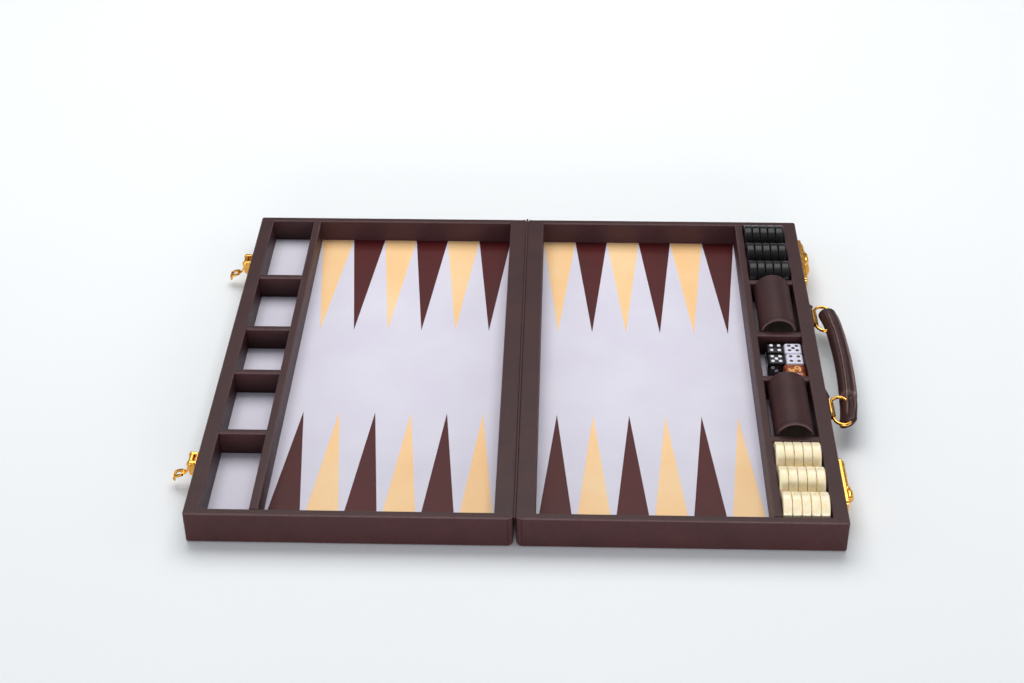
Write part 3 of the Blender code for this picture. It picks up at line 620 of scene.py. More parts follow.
class MakeCaseShells(Maker):
    """The two leather-covered halves of the case"""
    bl_idname = "backgammon.case_shells"
    bl_label = "Case halves"

    def make(self, context):
        s = context.scene.backgammon_case
        for word, side in SIDES.items():
            self.shell(word, side, s)

    def shell(self, word, side, s):
        """A tray wall: loops round the half climb the outside from the base, turn over the rim and go down the
        inside. Each is a rounded rectangle set in from the outline by the wall's section at that height."""
        node = "case_shell_" + word
        lo, hi = box_mm(node)
        near, far = sorted((side * (lo[0] - HINGE[0]), side * (hi[0] - HINGE[0])))
        half_y, top = hi[1], hi[2]
        well = box_mm("playing_surface_" + word)
        inner_near, inner_far = sorted((side * (well[0][0] - HINGE[0]), side * (well[1][0] - HINGE[0])))
        inner_near, inner_far, inner_y = inner_near - 0.2, inner_far + 0.2, well[1][1] + 0.2
        rb, rs = s.base_edge / MM, s.spine_edge / MM
        rt, ri = s.rim_outer / MM, s.rim_inner / MM
        quarter = np.radians(np.linspace(0, 90, 7))
        # outside: inset from the outline and height, for the plain sides and for the folding side
        inset = np.concatenate([rb * (1 - np.sin(quarter)), [0, 0, 0], rt * (1 - np.cos(quarter))])
        height = np.concatenate([rb * (1 - np.cos(quarter)), [rs + 0.5, top / 2, top - rt - 0.3],
                                 top - rt + rt * np.sin(quarter)])
        rf = s.rim_fold / MM
        inset_fold = np.concatenate([rs * (1 - np.sin(quarter)), [0, 0, 0], rf * (1 - np.cos(quarter))])
        height_fold = np.concatenate([rs * (1 - np.cos(quarter)), [rs + 0.5, top / 2, top - rt - 0.3],
                                      top - rf + rf * np.sin(quarter)])
        corner = np.array([s.corner, s.spine_corner, s.spine_corner, s.corner]) / MM
        radius = np.maximum(corner[None] - inset[:, None], 0.25)
        out = [near + inset_fold, far - inset, -half_y + inset, half_y - inset, radius]
        # rim top, then the rounding into the well and the wall down to the floor
        share = np.array([0.12, 0.5, 0.88])
        step = np.concatenate([ri * (1 - np.sin(quarter)), [0, 0]])
        inside = [inner_near - step, inner_far + step, -inner_y - step, inner_y + step,
                  np.repeat(0.8 + step[:, None], 4, 1)]
        bridge = [o[-1:] + (i[:1] - o[-1:]) * (share if np.ndim(o) == 1 else share[:, None]) for o,
                  i in zip(out, inside)]
        rows = [np.concatenate(p) for p in zip(out, bridge, inside)]
        z_in = np.concatenate([top - ri + ri * np.cos(quarter), [top - ri - 0.3, 5.0]])
        z = np.concatenate([height, np.full(3, top), z_in])
        z_fold = np.concatenate([height_fold, np.full(3, top), z_in])
        run = far - near - corner[0] - corner[1]
        press = (s.turn_in / MM - corner[1] + np.array([-0.9, -0.45, 0.0, 0.45, 0.9])) / run
        along_x = np.concatenate([press, np.linspace(0.06, 0.99, 9)])
        along_y = np.concatenate([[0.006], np.linspace(0.06, 0.94, 11), [0.994]])
        loops = rounded_loops(*rows, along_x, along_y)
        count = loops.shape[1]
        ring = np.arange(count)
        first = 7 + len(along_x)
        fold = ((ring >= first) & (ring < first + 14 + len(along_y))).astype(float)
        level = z[:, None] + (z_fold - z)[:, None] * fold
        # pressed line of the turn-in on the two short walls and over their rim
        into = loops[..., 0] - near
        line = np.clip(1 - np.abs(into - s.turn_in / MM) / 0.5, 0, 1)
        side_on = (np.abs(loops[..., 1]) > inner_y + 0.5)
        lean = np.concatenate([np.sin(quarter), np.ones(3), np.cos(quarter), np.zeros(3 + 9)])[:, None]
        deep = 0.42 * line * side_on
        y = loops[..., 1] - np.sign(loops[..., 1]) * deep * lean
        level = level - deep * np.concatenate(
            [np.zeros(10), np.sin(quarter), np.ones(3), np.zeros(9)])[:, None]
        points = np.stack([HINGE[0] + side * loops[..., 0], y, level], -1)
        # paler marks on the rounded rims and the base edge: rubbing, and on the rims a painted highlight along
        # the rounding
        rub_and_highlight = np.zeros(len(z))
        rub_and_highlight[10:17] = np.sin(np.linspace(0, math.pi, 7)) ** 2
        rub_and_highlight[20:27] = 0.8 * np.sin(np.linspace(0, math.pi, 7)) ** 2
        rub_and_highlight[0:7] = 0.3 * np.sin(np.linspace(0, math.pi, 7))
        shape = Surface().grid(points, mark=rub_and_highlight[:, None] * np.ones(count))
        shape.piece("case_leather_" + word, [finish("case")], word + "_half", "leather", [node])


class MakeTrayDividers(Maker):
    """The comb-shaped tray dividers with their cross partitions"""
    bl_idname = "backgammon.tray_dividers"
    bl_label = "Tray dividers"

    def make(self, context):
        s = context.scene.backgammon_case
        for word, side in SIDES.items():
            node = "tray_divider_" + word
            lo, hi = box_mm(node)
            near, far = sorted((side * (lo[0] - HINGE[0]), side * (hi[0] - HINGE[0])))
            shape = Surface()
            thick = 7.6
            self.wall(shape, [near + thick / 2, far], (lo[2], hi[2]), thick / 2, s.divider_edge / MM,
                      (lo[1], hi[1]), "y", side)
            for y in (-120.3, -33.9, 33.9, 120.3):
                self.wall(shape, [near + thick - 2.2, far], (lo[2], hi[2] - 0.06), 3.2,
                          s.divider_edge / MM - 0.2,
                          (y, y), "x", side)
            shape.piece("divider_leather_" + word, [finish("case")], word + "_half", "leather", [node])

    def wall(self, shape, x, z, half, edge, y, axis, side):
        """A board on edge: a section whose two top edges are quarter circles, carried along the board."""
        low, top = z
        over = np.concatenate([arc(half - edge, top - edge, edge, 0, 90, 6),
                               arc(-half + edge, top - edge, edge, 90, 180, 6)])
        section = np.concatenate([[[-half, (low + top) / 2], [-half, low], [half, low],
                                   [half, (low + top) / 2]], over])
        # leather drawn tight leaves a trace of crown
        section[4:, 1] += 0.10 * (1 - (section[4:, 0] / half) ** 2) - 0.10
        # paler marks on both top roundings: rubbing and a painted highlight along them
        rub_and_highlight = np.concatenate([np.zeros(4), np.sin(np.linspace(0, math.pi, 7)) ** 2,
                              np.sin(np.linspace(0, math.pi, 7)) ** 2])
        steps = np.linspace(0, 1, 9)[:, None]
        if axis == "y":
            path = np.array([HINGE[0] + side * x[0], y[0], 0]) + steps * np.array([0, y[1] - y[0], 0])
            shape.tube(path, (1, 0, 0), (0, 0, 1), section, mark=np.tile(rub_and_highlight, (9, 1)))
        else:
            path = np.array([HINGE[0] + side * x[0], y[0], 0]) \
                + steps * np.array([side * (x[1] - x[0]), 0, 0])
            shape.tube(path, (0, 1, 0), (0, 0, 1), section, mark=np.tile(rub_and_highlight, (9, 1)))


class MakePlayingSurfaces(Maker):
    """The lined playing surfaces with their laid points"""
    bl_idname = "backgammon.playing_surfaces"
    bl_label = "Playing surfaces"

    def make(self, context):
        s = context.scene.backgammon_case
        for word, side in SIDES.items():
            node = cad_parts["playing_surface_" + word]
            node.data.materials.clear()
            node.data.materials.append(finish("lining"))
            lo, hi = box_mm("playing_surface_" + word)
            start = min(abs(lo[0] - HINGE[0]), abs(hi[0] - HINGE[0]))
            stop = s.divider_play / MM
            pitch = (stop - start) / s.points
            dark, light = Surface(), Surface()
            for k in range(s.points):
                x = HINGE[0] + (start + pitch * (k + 0.5) if side > 0 else -(stop - pitch * (k + 0.5)))
                for end in (1, -1):
                    kind = light if (k % 2 == 0) == (end > 0) else dark
                    self.point(kind, x, end * hi[1], -end, pitch / 2 - 0.12, s.point_reach / MM, hi[2],
                               s.point_rise / MM)
            light.piece("points_apricot_" + word, [finish("light_point")], word + "_half", "lining", sharp=25)
            dark.piece("points_burgundy_" + word, [finish("dark_point")], word + "_half", "lining", sharp=25)

    def point(self, shape, x, y, way, half, reach, floor, rise):
        """A pared leather triangle: its half width falls evenly from the wall to nothing at the tip, and its
        edge is a small rounded step of the leather's thickness."""
        along = np.concatenate([[0], np.linspace(0.02, 0.97, 20), [0.99, 1.0]])
        width = half * (1 - along)
        edge = np.minimum(0.22, width * 0.45)
        zero = np.zeros_like(width)
        across = np.stack([-width, -width, -width + edge * 0.3, -width + edge, zero, width - edge,
                           width - edge * 0.3,
                           width, width, zero], -1)
        up = np.array([-0.3, 0.55 * rise, 0.88 * rise, rise, rise, rise, 0.88 * rise, 0.55 * rise, -0.3,
                       -0.3])
        up = np.broadcast_to(up, across.shape).copy()
        up[-1] = 0.0
        points = np.stack([x + across, y + way * reach * along[:, None] + 0 * across, floor + up], -1)
        shape.grid(points)


class MakeSpineHinge(Maker):
    """The full-length hinge between the halves and the leather folds at its ends"""
    bl_idname = "backgammon.spine_hinge"
    bl_label = "Spine hinge"

    def make(self, context):
        lo, hi = box_mm("hinge_leaf_right")
        left = box_mm("hinge_leaf_left")
        ends = min(lo[1], left[0][1]), max(hi[1], left[1][1])
        count, radius = 7, 0.95
        edges = np.linspace(ends[0], ends[1], count + 1)
        for word, side, first in (("right", 1, 0), ("left", -1, 1)):
            shape = Surface()
            a, b = box_mm("hinge_leaf_" + word)
            plate_x = HINGE[0] + side * 0.62
            section = rounded_section(0.26, 0.5 * (HINGE[2] - 1.6 - a[2]), 0.12, 2)
            path = np.array([[plate_x, y, (a[2] + HINGE[2] - 1.6) / 2] for y in (ends[0], ends[1])])
            shape.tube(path, (1, 0, 0), (0, 0, 1), section)
            for k in range(first, count, 2):
                y0, y1 = edges[k] + 0.25, edges[k + 1] - 0.25
                profile = np.array([[y0, 0.75], [y0, 0.85], [y0 + 0.18, radius], [y1 - 0.18, radius],
                                    [y1, 0.85], [y1, 0.75]])
                shape.lathe(profile, (HINGE[0], 0, HINGE[2]), "y", 20, slot=1)
            shape.piece("hinge_" + word, [finish("case"), finish("hinge")], word + "_half", "hinge_metal",
                        ["hinge_leaf_" + word])
        pin = Surface()
        a, b = box_mm("hinge_pin")
        profile = [[a[1], 0], [a[1], 0.5], [a[1] + 0.2, 0.7], [b[1] - 0.2, 0.7], [b[1], 0.5], [b[1], 0]]
        pin.lathe(profile, (HINGE[0], 0, HINGE[2]), "y", 14)
        pin.piece("hinge_rod", [finish("hinge")], "right_half", "hinge_metal", ["hinge_pin"])
        # a leather bead is drawn over the knuckles from end to end; it is round about the pin, so it looks
        # the
        # same however far the case is folded
        end = box_mm("case_shell_right")[1][1] - 1.4
        turn = np.sin(np.radians(np.linspace(0, 90, 7)))
        along = np.concatenate([-end - 1.05 * turn[::-1], np.linspace(-end + 4, end - 4, 33),
                                end + 1.05 * turn])
        size = np.concatenate([np.sqrt(np.maximum(0, 1 - turn[::-1] ** 2)), np.ones(33),
                               np.sqrt(np.maximum(0, 1 - turn ** 2))])
        pucker = 0.07 * np.exp(-((np.abs(along) - end + 3.0) / 1.6) ** 2)
        bead = Surface().lathe(np.stack([along, 1.08 * size + pucker * (size > 0)], -1),
                               (HINGE[0], 0, HINGE[2]), "y", 24, mark=0.2)
        bead.piece("spine_bead", [finish("case")], "right_half", "leather")
        # under the bead a leather welt closes the crease beside the wall; it keeps below the pin on this
        # half's side
        welt = rounded_section(0.5, 0.45, 0.3, 3)
        path = np.array([[HINGE[0] + 1.3, y, HINGE[2] - 1.75]
                         for y in (-end, -end + 0.5, 0.0, end - 0.5, end)])
        closing = Surface().tube(path, (1, 0, 0), (0, 0, 1),
                                 welt[None] * np.array([0.7, 1, 1, 1, 0.7])[:, None, None], mark=0.1)
        closing.piece("spine_welt", [finish("case")], "right_half", "leather")


class MakeHasps(Maker):
    """The two swinging hasps and the brackets they hang on"""
    bl_idname = "backgammon.hasps"
    bl_label = "Hasps"

    def make(self, context):
        s = context.scene.backgammon_metal
        wall = HINGE[0] - WALL
        axis_x, axis_z = HINGE[0] - HASP_OUT, HASP_HEIGHT
        for word in ("back", "front"):
            y = middle("hasp_bracket_" + word)[1]
            self.bracket(word, y, wall, axis_x, axis_z)
            self.hasp(word, y, axis_x, axis_z, s)

    def bracket(self, word, y, wall, axis_x, axis_z):
        """A back plate with two deep cheeks. A cheek's outline runs round the pin on an arc and tapers to the
        plate's foot; it is carried through the cheek's thickness with its edges eased."""
        shape = Surface()
        plate = rounded_section(7.5, 8.1, 1.2, 4)
        inset = np.array([1.0, 1.0, 0.97, 0.93])
        for_x = np.array([wall, wall - 1.0, wall - 1.3, wall - 1.4])
        shape.tube(np.stack([for_x, np.full(4, y), np.full(4, 21.1)], -1), (0, 1, 0), (0, 0, 1),
                   plate[None] * inset[:, None, None])
        round_pin = arc(axis_x, axis_z, 3.0, 70, 205, 12)
        foot = np.array([[axis_x - 2.2, 22.2], [axis_x - 1.95, 20.2]])
        toe = arc(axis_x + 1.2, 18.0, 3.0, 175, 262, 7)
        outline = np.concatenate([[[wall - 0.3, 29.1], [wall - 1.6, 29.5]], round_pin, foot, toe,
                                  [[wall - 0.3, 14.6]]])
        core = np.array([axis_x + 2.6, 21.5])
        for way in (-1, 1):
            steps = np.array([7.5, 7.35, 7.0, 4.75, 4.45, 4.35])
            grow = np.array([0.90, 0.97, 1.0, 1.0, 0.97, 0.92])
            rows = core + (outline[None] - core) * grow[:, None, None]
            points = np.stack([rows[..., 0], np.broadcast_to(y + way * steps[:, None], rows.shape[:2]),
                               rows[..., 1]], -1)
            shape.grid(points)
            head = [[y + way * 8.0, 0], [y + way * 7.95, 0.7], [y + way * 7.7, 1.25], [y + way * 7.2, 1.4],
                    [y + way * 7.2, 0]]
            shape.lathe(head, (axis_x, 0, axis_z), "y", 20)
        shape.piece("hasp_hinge_" + word, [finish("brass")], "left_half", "brass", ["hasp_bracket_" + word],
                    sharp=45)

    def hasp(self, word, y, axis_x, axis_z, s):
        """Drawn standing along +Z and then turned down. The plate's section is a flat rounded bar whose half
        width follows the outline along its length. Its middle line sways out by an eased step and then leans
        back at a steady angle. The eye is a bar carried round a rounded square. The lip bends down."""
        reach, hole, bar = s.hasp_length / MM, s.hasp_eye / MM / 2, 1.75
        lean = math.radians(36)
        shape = Surface()
        knuckle = [[-4.05, 0.6], [-4.05, 2.0], [-3.8, 2.3], [3.8, 2.3], [4.05, 2.0], [4.05, 0.6]]
        shape.lathe(knuckle, (0, 0, 0), "y", 28)
        shape.lathe([[-7.4, 0], [-7.4, 1.0], [7.4, 1.0], [7.4, 0]], (0, 0, 0), "y", 16)

        def line(v):
            past = np.maximum(v - 15.0, 0)
            return np.stack([-1.75 - 1.25 * swell((v - 5) / 8) + past * math.sin(lean), 0 * v,
                             np.minimum(v, 15.0) + past * math.cos(lean)], -1)

        v = np.array([0.2, 1.6, 3.0, 3.9, 4.8, 5.8, 6.8, 8.0, 9.2, 10.4, 11.6, 12.8, 13.9, 15.0, 15.8, 16.5,
                      17.2])
        half = np.array([4.0, 4.0, 4.0, 4.2, 4.9, 5.6, 5.9, 5.9, 5.8, 5.3, 4.4, 3.6, 3.1, 2.9, 3.0, 3.4, 3.8])
        shape.tube(line(v), (0, 1, 0), (1, 0, 0), rounded_section(half, np.full(len(v), 0.62), 0.45, 3))
        # square eye
        mid = reach - 1.4 - hole - bar
        side = rounded_loops([-hole - bar / 2], [hole + bar / 2], [-hole - bar / 2], [hole + bar / 2],
                             np.full((1, 4), 1.3), np.linspace(0.1, 0.9, 3), np.linspace(0.1, 0.9, 3), 5)[0]
        ahead = np.roll(side, -1, 0) - np.roll(side, 1, 0)
        ahead /= np.linalg.norm(ahead, axis=1)[:, None]
        path = line(side[:, 1] + mid)
        path[:, 1] = side[:, 0]
        normal = np.stack([-ahead[:, 0] * math.sin(lean), ahead[:, 1], -ahead[:, 0] * math.cos(lean)], -1)
        across = np.array([math.cos(lean), 0.0, -math.sin(lean)])
        shape.tube(path, normal, across, rounded_section(bar / 2, 1.25, 0.5, 3), ring=True)
        # finger lip bending down from the end
        turn = np.linspace(0, 1, 8)[:, None]
        start = line(np.array([reach - 1.7]))
        path = start + turn * np.array([[-1.6, 0, 5.0]]) - turn ** 2 * np.array([[1.6, 0, 0.4]])
        ahead = np.gradient(path, axis=0)
        ahead /= np.linalg.norm(ahead, axis=1)[:, None]
        across = np.stack([ahead[:, 2], 0 * ahead[:, 0], -ahead[:, 0]], -1)
        shape.tube(path, (0, 1, 0), across,
                   rounded_section(np.linspace(4.3, 2.6, 8), np.linspace(0.95, 0.75, 8), 0.4, 3))
        shape.place(Matrix.Translation((axis_x, y, axis_z)) @ Matrix.Rotation(math.radians(-142), 4, "Y"))
        shape.piece("hasp_plate_" + word, [finish("brass")], "hasp_" + word, "brass", ["hasp_" + word],
                    sharp=45)


class MakeCatches(Maker):
    """The two catches on the right wall with their thumb pieces"""
    bl_idname = "backgammon.catches"
    bl_label = "Catches"

    def make(self, context):
        for word, thick, taper in (("back", (157.0, 200.0), 10.0), ("front", (-179.2, -142.3), 3.0)):
            self.plate(word, thick, taper)
            self.thumb(word)

    def plate(self, word, thick, taper):
        """Base plate with rounded corners; a housing that is half a tube, its height easing to the far end on
        a quarter ellipse; a raised collar at the other end; and the post that a hasp drops over."""
        node = "latch_plate_" + word
        lo, hi = box_mm(node)
        wall = HINGE[0] + WALL
        shape = Surface()
        short = 3.4 if word == "back" else 0.0
        base = rounded_section((hi[1] - lo[1] - short) / 2, 8.6, 2.6, 5)
        steps, inset = np.array([0.0, 1.9, 2.4, 2.7, 2.8]), np.array([0, 0, 0.12, 0.4, 0.8])
        sections = np.stack([base - np.sign(base) * i for i in inset])
        path = np.stack([wall + steps, np.full(5, (lo[1] + hi[1] - short) / 2), np.full(5, 19.6)], -1)
        shape.tube(path, (0, 1, 0), (0, 0, 1), sections)
        a, b = thick
        t = np.sin(np.radians(np.linspace(0, 88, 14)))
        y = np.concatenate([a + np.array([0, 0.3, 1.0]), np.linspace(a + 3, b - taper - 1, 6),
                            b - taper + taper * t])
        size = np.concatenate([np.ones(9), np.sqrt(1 - t ** 2) ** 0.85])
        turn = np.radians(np.linspace(90, -90, 15))
        arch = np.stack([np.cos(turn) * 3.1 + (3.2 if word == "back" else 2.9), np.sin(turn) * 6.5], -1)
        arch = np.concatenate([arch, [[0.5, -6.5], [0.5, 0.0], [0.5, 6.5]]])
        section = np.stack([np.stack([0.5 + (arch[:, 0] - 0.5) * max(q, 0.4), arch[:, 1] * (0.5 + 0.5 * q)],
                                     -1) for q in size])
        shape.tube(np.stack([np.full(len(y), wall), y, np.full(len(y), 20.4)], -1), (1, 0, 0), (0, 0, 1),
                   section)
        rim = a + np.array([-2.0, -1.8, -1.3, 0.3, 0.8, 1.0])
        grow = np.array([0.88, 0.96, 1.0, 1.0, 0.97, 0.9])[:, None, None]
        shape.tube(np.stack([np.full(6, wall), rim, np.full(6, 20.4)], -1), (1, 0, 0), (0, 0, 1),
                   arch[None] * grow * np.array([1.22, 1.14]))
        # a second step down to the thin part
        rim = a + np.array([-5.6, -5.4, -4.9, -2.4, -2.0])
        grow = np.array([0.60, 0.68, 0.72, 0.72, 0.70])[:, None, None]
        shape.tube(np.stack([np.full(5, wall), rim, np.full(5, 20.4)], -1), (1, 0, 0), (0, 0, 1),
                   arch[None] * grow)
        post_y = middle("hasp_bracket_" + word)[1]
        post = rounded_section(2.0, 2.0, 0.6, 3)
        steps, grow = np.array([1.0, 4.4, 4.8, 5.1]), np.array([1.0, 1.0, 0.93, 0.78])
        path = np.stack([wall + steps, np.full(4, post_y), np.full(4, 14.2)], -1)
        shape.tube(path, (0, 1, 0), (0, 0, 1), post[None] * grow[:, None, None])
        for ry in (hi[1] - 6.0, lo[1] + 6.0) if word == "front" else (lo[1] + 6.0, ):
            head = [[wall + 3.7, 0], [wall + 3.6, 0.8], [wall + 3.3, 1.5], [wall + 2.6, 1.8], [wall + 2.6, 0]]
            shape.lathe(head, (0, ry, 16.0), "x", 20)
        shape.piece("catch_" + word, [finish("brass")], "right_half", "brass", [node], sharp=42)

    def thumb(self, word):
        """A thumb piece like a long bead: its section shrinks to its ends as the root of one less the cube of
        the distance from its middle. Bars stand across it for grip, and a stem runs down into the plate."""
        node = "latch_slide_" + word
        lo, hi = box_mm(node)
        centre = (lo + hi) / 2
        wall = HINGE[0] + WALL
        base = wall + (3.3 if word == "back" else 2.4)
        length, height = (hi[1] - lo[1]) / 2, (hi[2] - lo[2]) / 2
        top = hi[0] - base - (0.9 if word == "back" else 0.3)
        t = np.sin(np.radians(np.linspace(-86, 86, 23)))
        size = (1 - np.abs(t) ** 3) ** 0.45
        section = rounded_section(top / 2, height, min(2.4, top / 2 * 0.9), 6)
        section[:, 0] += top / 2
        shape = Surface()
        rows = section[None] * np.stack([0.55 + 0.45 * size, 0.45 + 0.55 * size], -1)[:, None]
        path = np.stack([np.full(23, base), centre[1] + t * length, np.full(23, centre[2])], -1)
        shape.tube(path, (1, 0, 0), (0, 0, 1), rows)
        reach = 0.58 * length
        for dy in np.linspace(-reach, reach, 5):
            bar = rounded_section(0.5, height * 0.72, 0.4, 3)
            path = np.array([[base + top - 0.5, centre[1] + dy, centre[2]],
                             [base + top + 0.1, centre[1] + dy, centre[2]],
                             [base + top + 0.3, centre[1] + dy, centre[2]]])
            shape.tube(path, (0, 1, 0), (0, 0, 1), bar[None] * np.array([1, 1, 0.7])[:, None, None])
        stem = rounded_section(3.2, 1.2, 0.3, 2)
        path = np.array([[wall + 1.6, centre[1], centre[2]], [base + 0.4, centre[1], centre[2]]])
        shape.tube(path, (0, 1, 0), (0, 0, 1), stem)
        shape.piece("thumb_piece_" + word, [finish("brass")], "latch_slide_" + word, "brass", [node],
                    sharp=42)


class MakeHandle(Maker):
    """The padded grip, its two rings and their brackets"""
    bl_idname = "backgammon.handle"
    bl_label = "Handle"

    def make(self, context):
        s = context.scene.backgammon_metal
        for word, y in (("back", RING_PLACE), ("front", -RING_PLACE)):
            self.ring(word, y, s.ring_wire / MM)
            self.bracket(word, y)
        self.grip(s.welt / MM)

    def ring(self, word, y, wire):
        """A ring of round wire: straight beside the wall and along the grip, joined by quarter ellipses that
        are longer on the wall side."""
        x0, x1, half = HINGE[0] + RING_NEAR, HINGE[0] + RING_FAR, RING_HALF
        quarter = np.radians(np.linspace(0, 90, 13))
        corners = []
        for sx, sy, ax, ay in ((1, 1, 6.8, 9.0), (-1, 1, 8.2, 12.0), (-1, -1, 8.2, 12.0), (1, -1, 6.8, 9.0)):
            c = np.stack([(x1 if sx > 0 else x0) - sx * ax * (1 - np.cos(quarter)),
                          sy * (half - ay * (1 - np.sin(quarter)))], -1)
            corners.append(c if sx * sy > 0 else c[::-1])
        path = []
        for k in range(4):
            gap = np.linspace(0, 1, 6)[1:-1, None]
            path += [corners[k], corners[k][-1] + (corners[(k + 1) % 4][0] - corners[k][-1]) * gap]
        path = np.concatenate(path)
        ahead = np.roll(path, -1, 0) - np.roll(path, 1, 0)
        ahead /= np.linalg.norm(ahead, axis=1)[:, None]
        normal = np.stack([ahead[:, 1], -ahead[:, 0], np.zeros(len(path))], -1)
        points = np.stack([path[:, 0], path[:, 1] + y, np.full(len(path), RING_HEIGHT)], -1)
        turn = np.linspace(0, 2 * math.pi, 16, endpoint=False)
        circle = np.stack([np.cos(turn), np.sin(turn)], -1) * wire
        shape = Surface().tube(points, normal, (0, 0, 1), circle, ring=True)
        shape.piece("handle_loop_" + word, [finish("brass")], "handle", "brass", ["handle_ring_" + word],
                    sharp=60)

    def bracket(self, word, y):
        """A leather tab glued to the wall, running out to a point behind the ring, with a brass strap over
        the ring. The strap's outline runs along the tab, round the ring on a half circle and back."""
        wall = HINGE[0] + WALL
        shape = Surface()
        tab = rounded_section(15.0, 7.4, 3.0, 5)
        steps, inset = np.array([0.0, 0.7, 1.0, 1.2]), np.array([0.0, 0.0, 0.15, 0.5])
        rows = np.stack([tab - np.sign(tab) * i for i in inset])
        shape.tube(np.stack([wall + steps, np.full(4, y), np.full(4, 21.6)], -1), (0, 1, 0), (0, 0, 1), rows,
                   mark=0.1)
        far = np.linspace(0, 1, 12)
        thick = 0.25 + 1.15 * (1 - far) * swell(far / 0.12 + 0.4)
        high = 1.0 + 5.2 * (1 - far) ** 0.8
        path = np.stack([wall + thick, y + 12.0 + (15.5 if word == "front" else 7.0) * far, 22.5 + 2.0 * far],
                        -1)
        shape.tube(path, (1, 0, 0), (0, 0, 1), rounded_section(thick, high, 0.9, 4), mark=0.1)
        t = 0.9
        outer = np.concatenate([[[1.2, 6.0], [1.2 + t, 6.0], [1.2 + t, 3.0]], arc(3.6, 0, 2.65, 80, -80, 14),
                                [[1.2 + t, -3.0], [1.2 + t, -6.0], [1.2, -6.0]]])
        inner = arc(3.6, 0, 1.62, -100, 100, 14)
        ring = np.concatenate([outer, [[1.2, -1.9]], inner, [[1.2, 1.9]]])
        ys = y + np.array([-10.0, 10.0])
        path = np.stack([np.full(2, wall), ys, np.full(2, RING_HEIGHT)], -1)
        shape.tube(path, (1, 0, 0), (0, 0, 1), ring, slot=1)
        shape.piece("handle_mount_" + word, [finish("handle"), finish("brass")], "right_half", "brass",
                    ["handle_bracket_" + word], sharp=50)

    def grip(self, welt):
        """The arched grip: ellipses carried along a line that bows away from the wall as the square of the
        distance from its middle. Past the rings' inner arcs the padded body steps down to a flat tongue that
        leans towards the wall, and rounds off at its ends as a root. Two welts stand up from the ellipse as
        narrow bells in the angle round it."""
        full = box_mm("handle_grip")[1][1]
        y = np.where(np.arange(145) < 72, full - 1.6, full - 4.4) \
            * np.sin(np.radians(np.linspace(-90, 90, 145)))
        far = np.abs(y)
        past = np.maximum(0, far - np.where(y < 0, full - 6.3, full - 9.4)) / np.where(y < 0, 5.5, 5.0)
        tip = np.sqrt(np.maximum(0.0, 1 - past ** 2.4))
        tongue = swell((far - 48.5) / 6.5) * np.where(y < 0, 1.0, 0.3)
        angle = np.linspace(0, 2 * math.pi, 96, endpoint=False)
        t = y / full
        centre_x = HINGE[0] + GRIP_OUT - GRIP_BOW * t ** 2 \
            - np.where(y < 0, 0.8, 1.6) * swell((far - 62) / 20)
        centre_z = GRIP_HEIGHT - 1.8 * tongue

        def bells(width, *at):
            return sum(np.exp(-((np.angle(np.exp(1j * (angle - math.radians(d)))) / math.radians(width)) ** 2))
                       for d in at)

        keep = (swell((full - 10 - far) / 10))[:, None]
        line = keep * (welt * bells(5.0, 104, 50) - 0.45 * bells(4.0, 95, 113, 41, 59))[None]
        seam = 0.4 * bells(4, -90)[None] * tip[:, None]
        rx = ((GRIP_WIDE - 0.9 * tongue) * tip)[:, None] + line - seam
        rz = ((GRIP_TALL - 2.7 * tongue) * tip)[:, None] + line - seam
        dx = rx * np.cos(angle)
        dz = rz * np.sin(angle) + 0.52 * tongue[:, None] * dx
        points = np.stack([centre_x[:, None] + dx, np.broadcast_to(y[:, None], rx.shape),
                           centre_z[:, None] + dz], -1)
        # the welts are marked paler: a painted highlight along their tops, and rubbing; a paler band also
        # crosses the top of the front step down to the tongue
        mark = keep * bells(4.5, 104, 50)[None] \
            + 0.4 * np.exp(-((y + 50.5) / 1.6) ** 2)[:, None] * (np.sin(angle) > 0)
        grip = Surface().grid(points, mark=mark).piece("handle_leather", [finish("handle")], "handle",
                                                       "leather",
                                                       ["handle_grip"], sharp=80)
        # stitches along both sides of the underside seam
        stitches = Surface()
        places = np.arange(-44, 45, 4.0)
        ring = np.stack([np.cos(np.linspace(0, 2 * math.pi, 6, endpoint=False)),
                         np.sin(np.linspace(0, 2 * math.pi, 6, endpoint=False))], -1)
        for d in (-97, -83):
            a = math.radians(d)
            for y in places:
                q = y / full
                steps = np.array([-1.25, -1.0, 0.0, 1.0, 1.25])
                out = np.array([-0.25, 0.0, 0.12, 0.0, -0.25])
                path = np.stack([HINGE[0] + GRIP_OUT - GRIP_BOW * q ** 2 + (GRIP_WIDE + out) * math.cos(a),
                                 y + steps,
                                 GRIP_HEIGHT + (GRIP_TALL + out) * math.sin(a)], -1)
                stitches.tube(path, (1, 0, 0), (0, 0, 1),
                              ring[None] * np.array([0.12, 0.24, 0.28, 0.24, 0.12])[:, None, None])
        stitches.piece("handle_stitches", [finish("thread")], "handle", "leather")


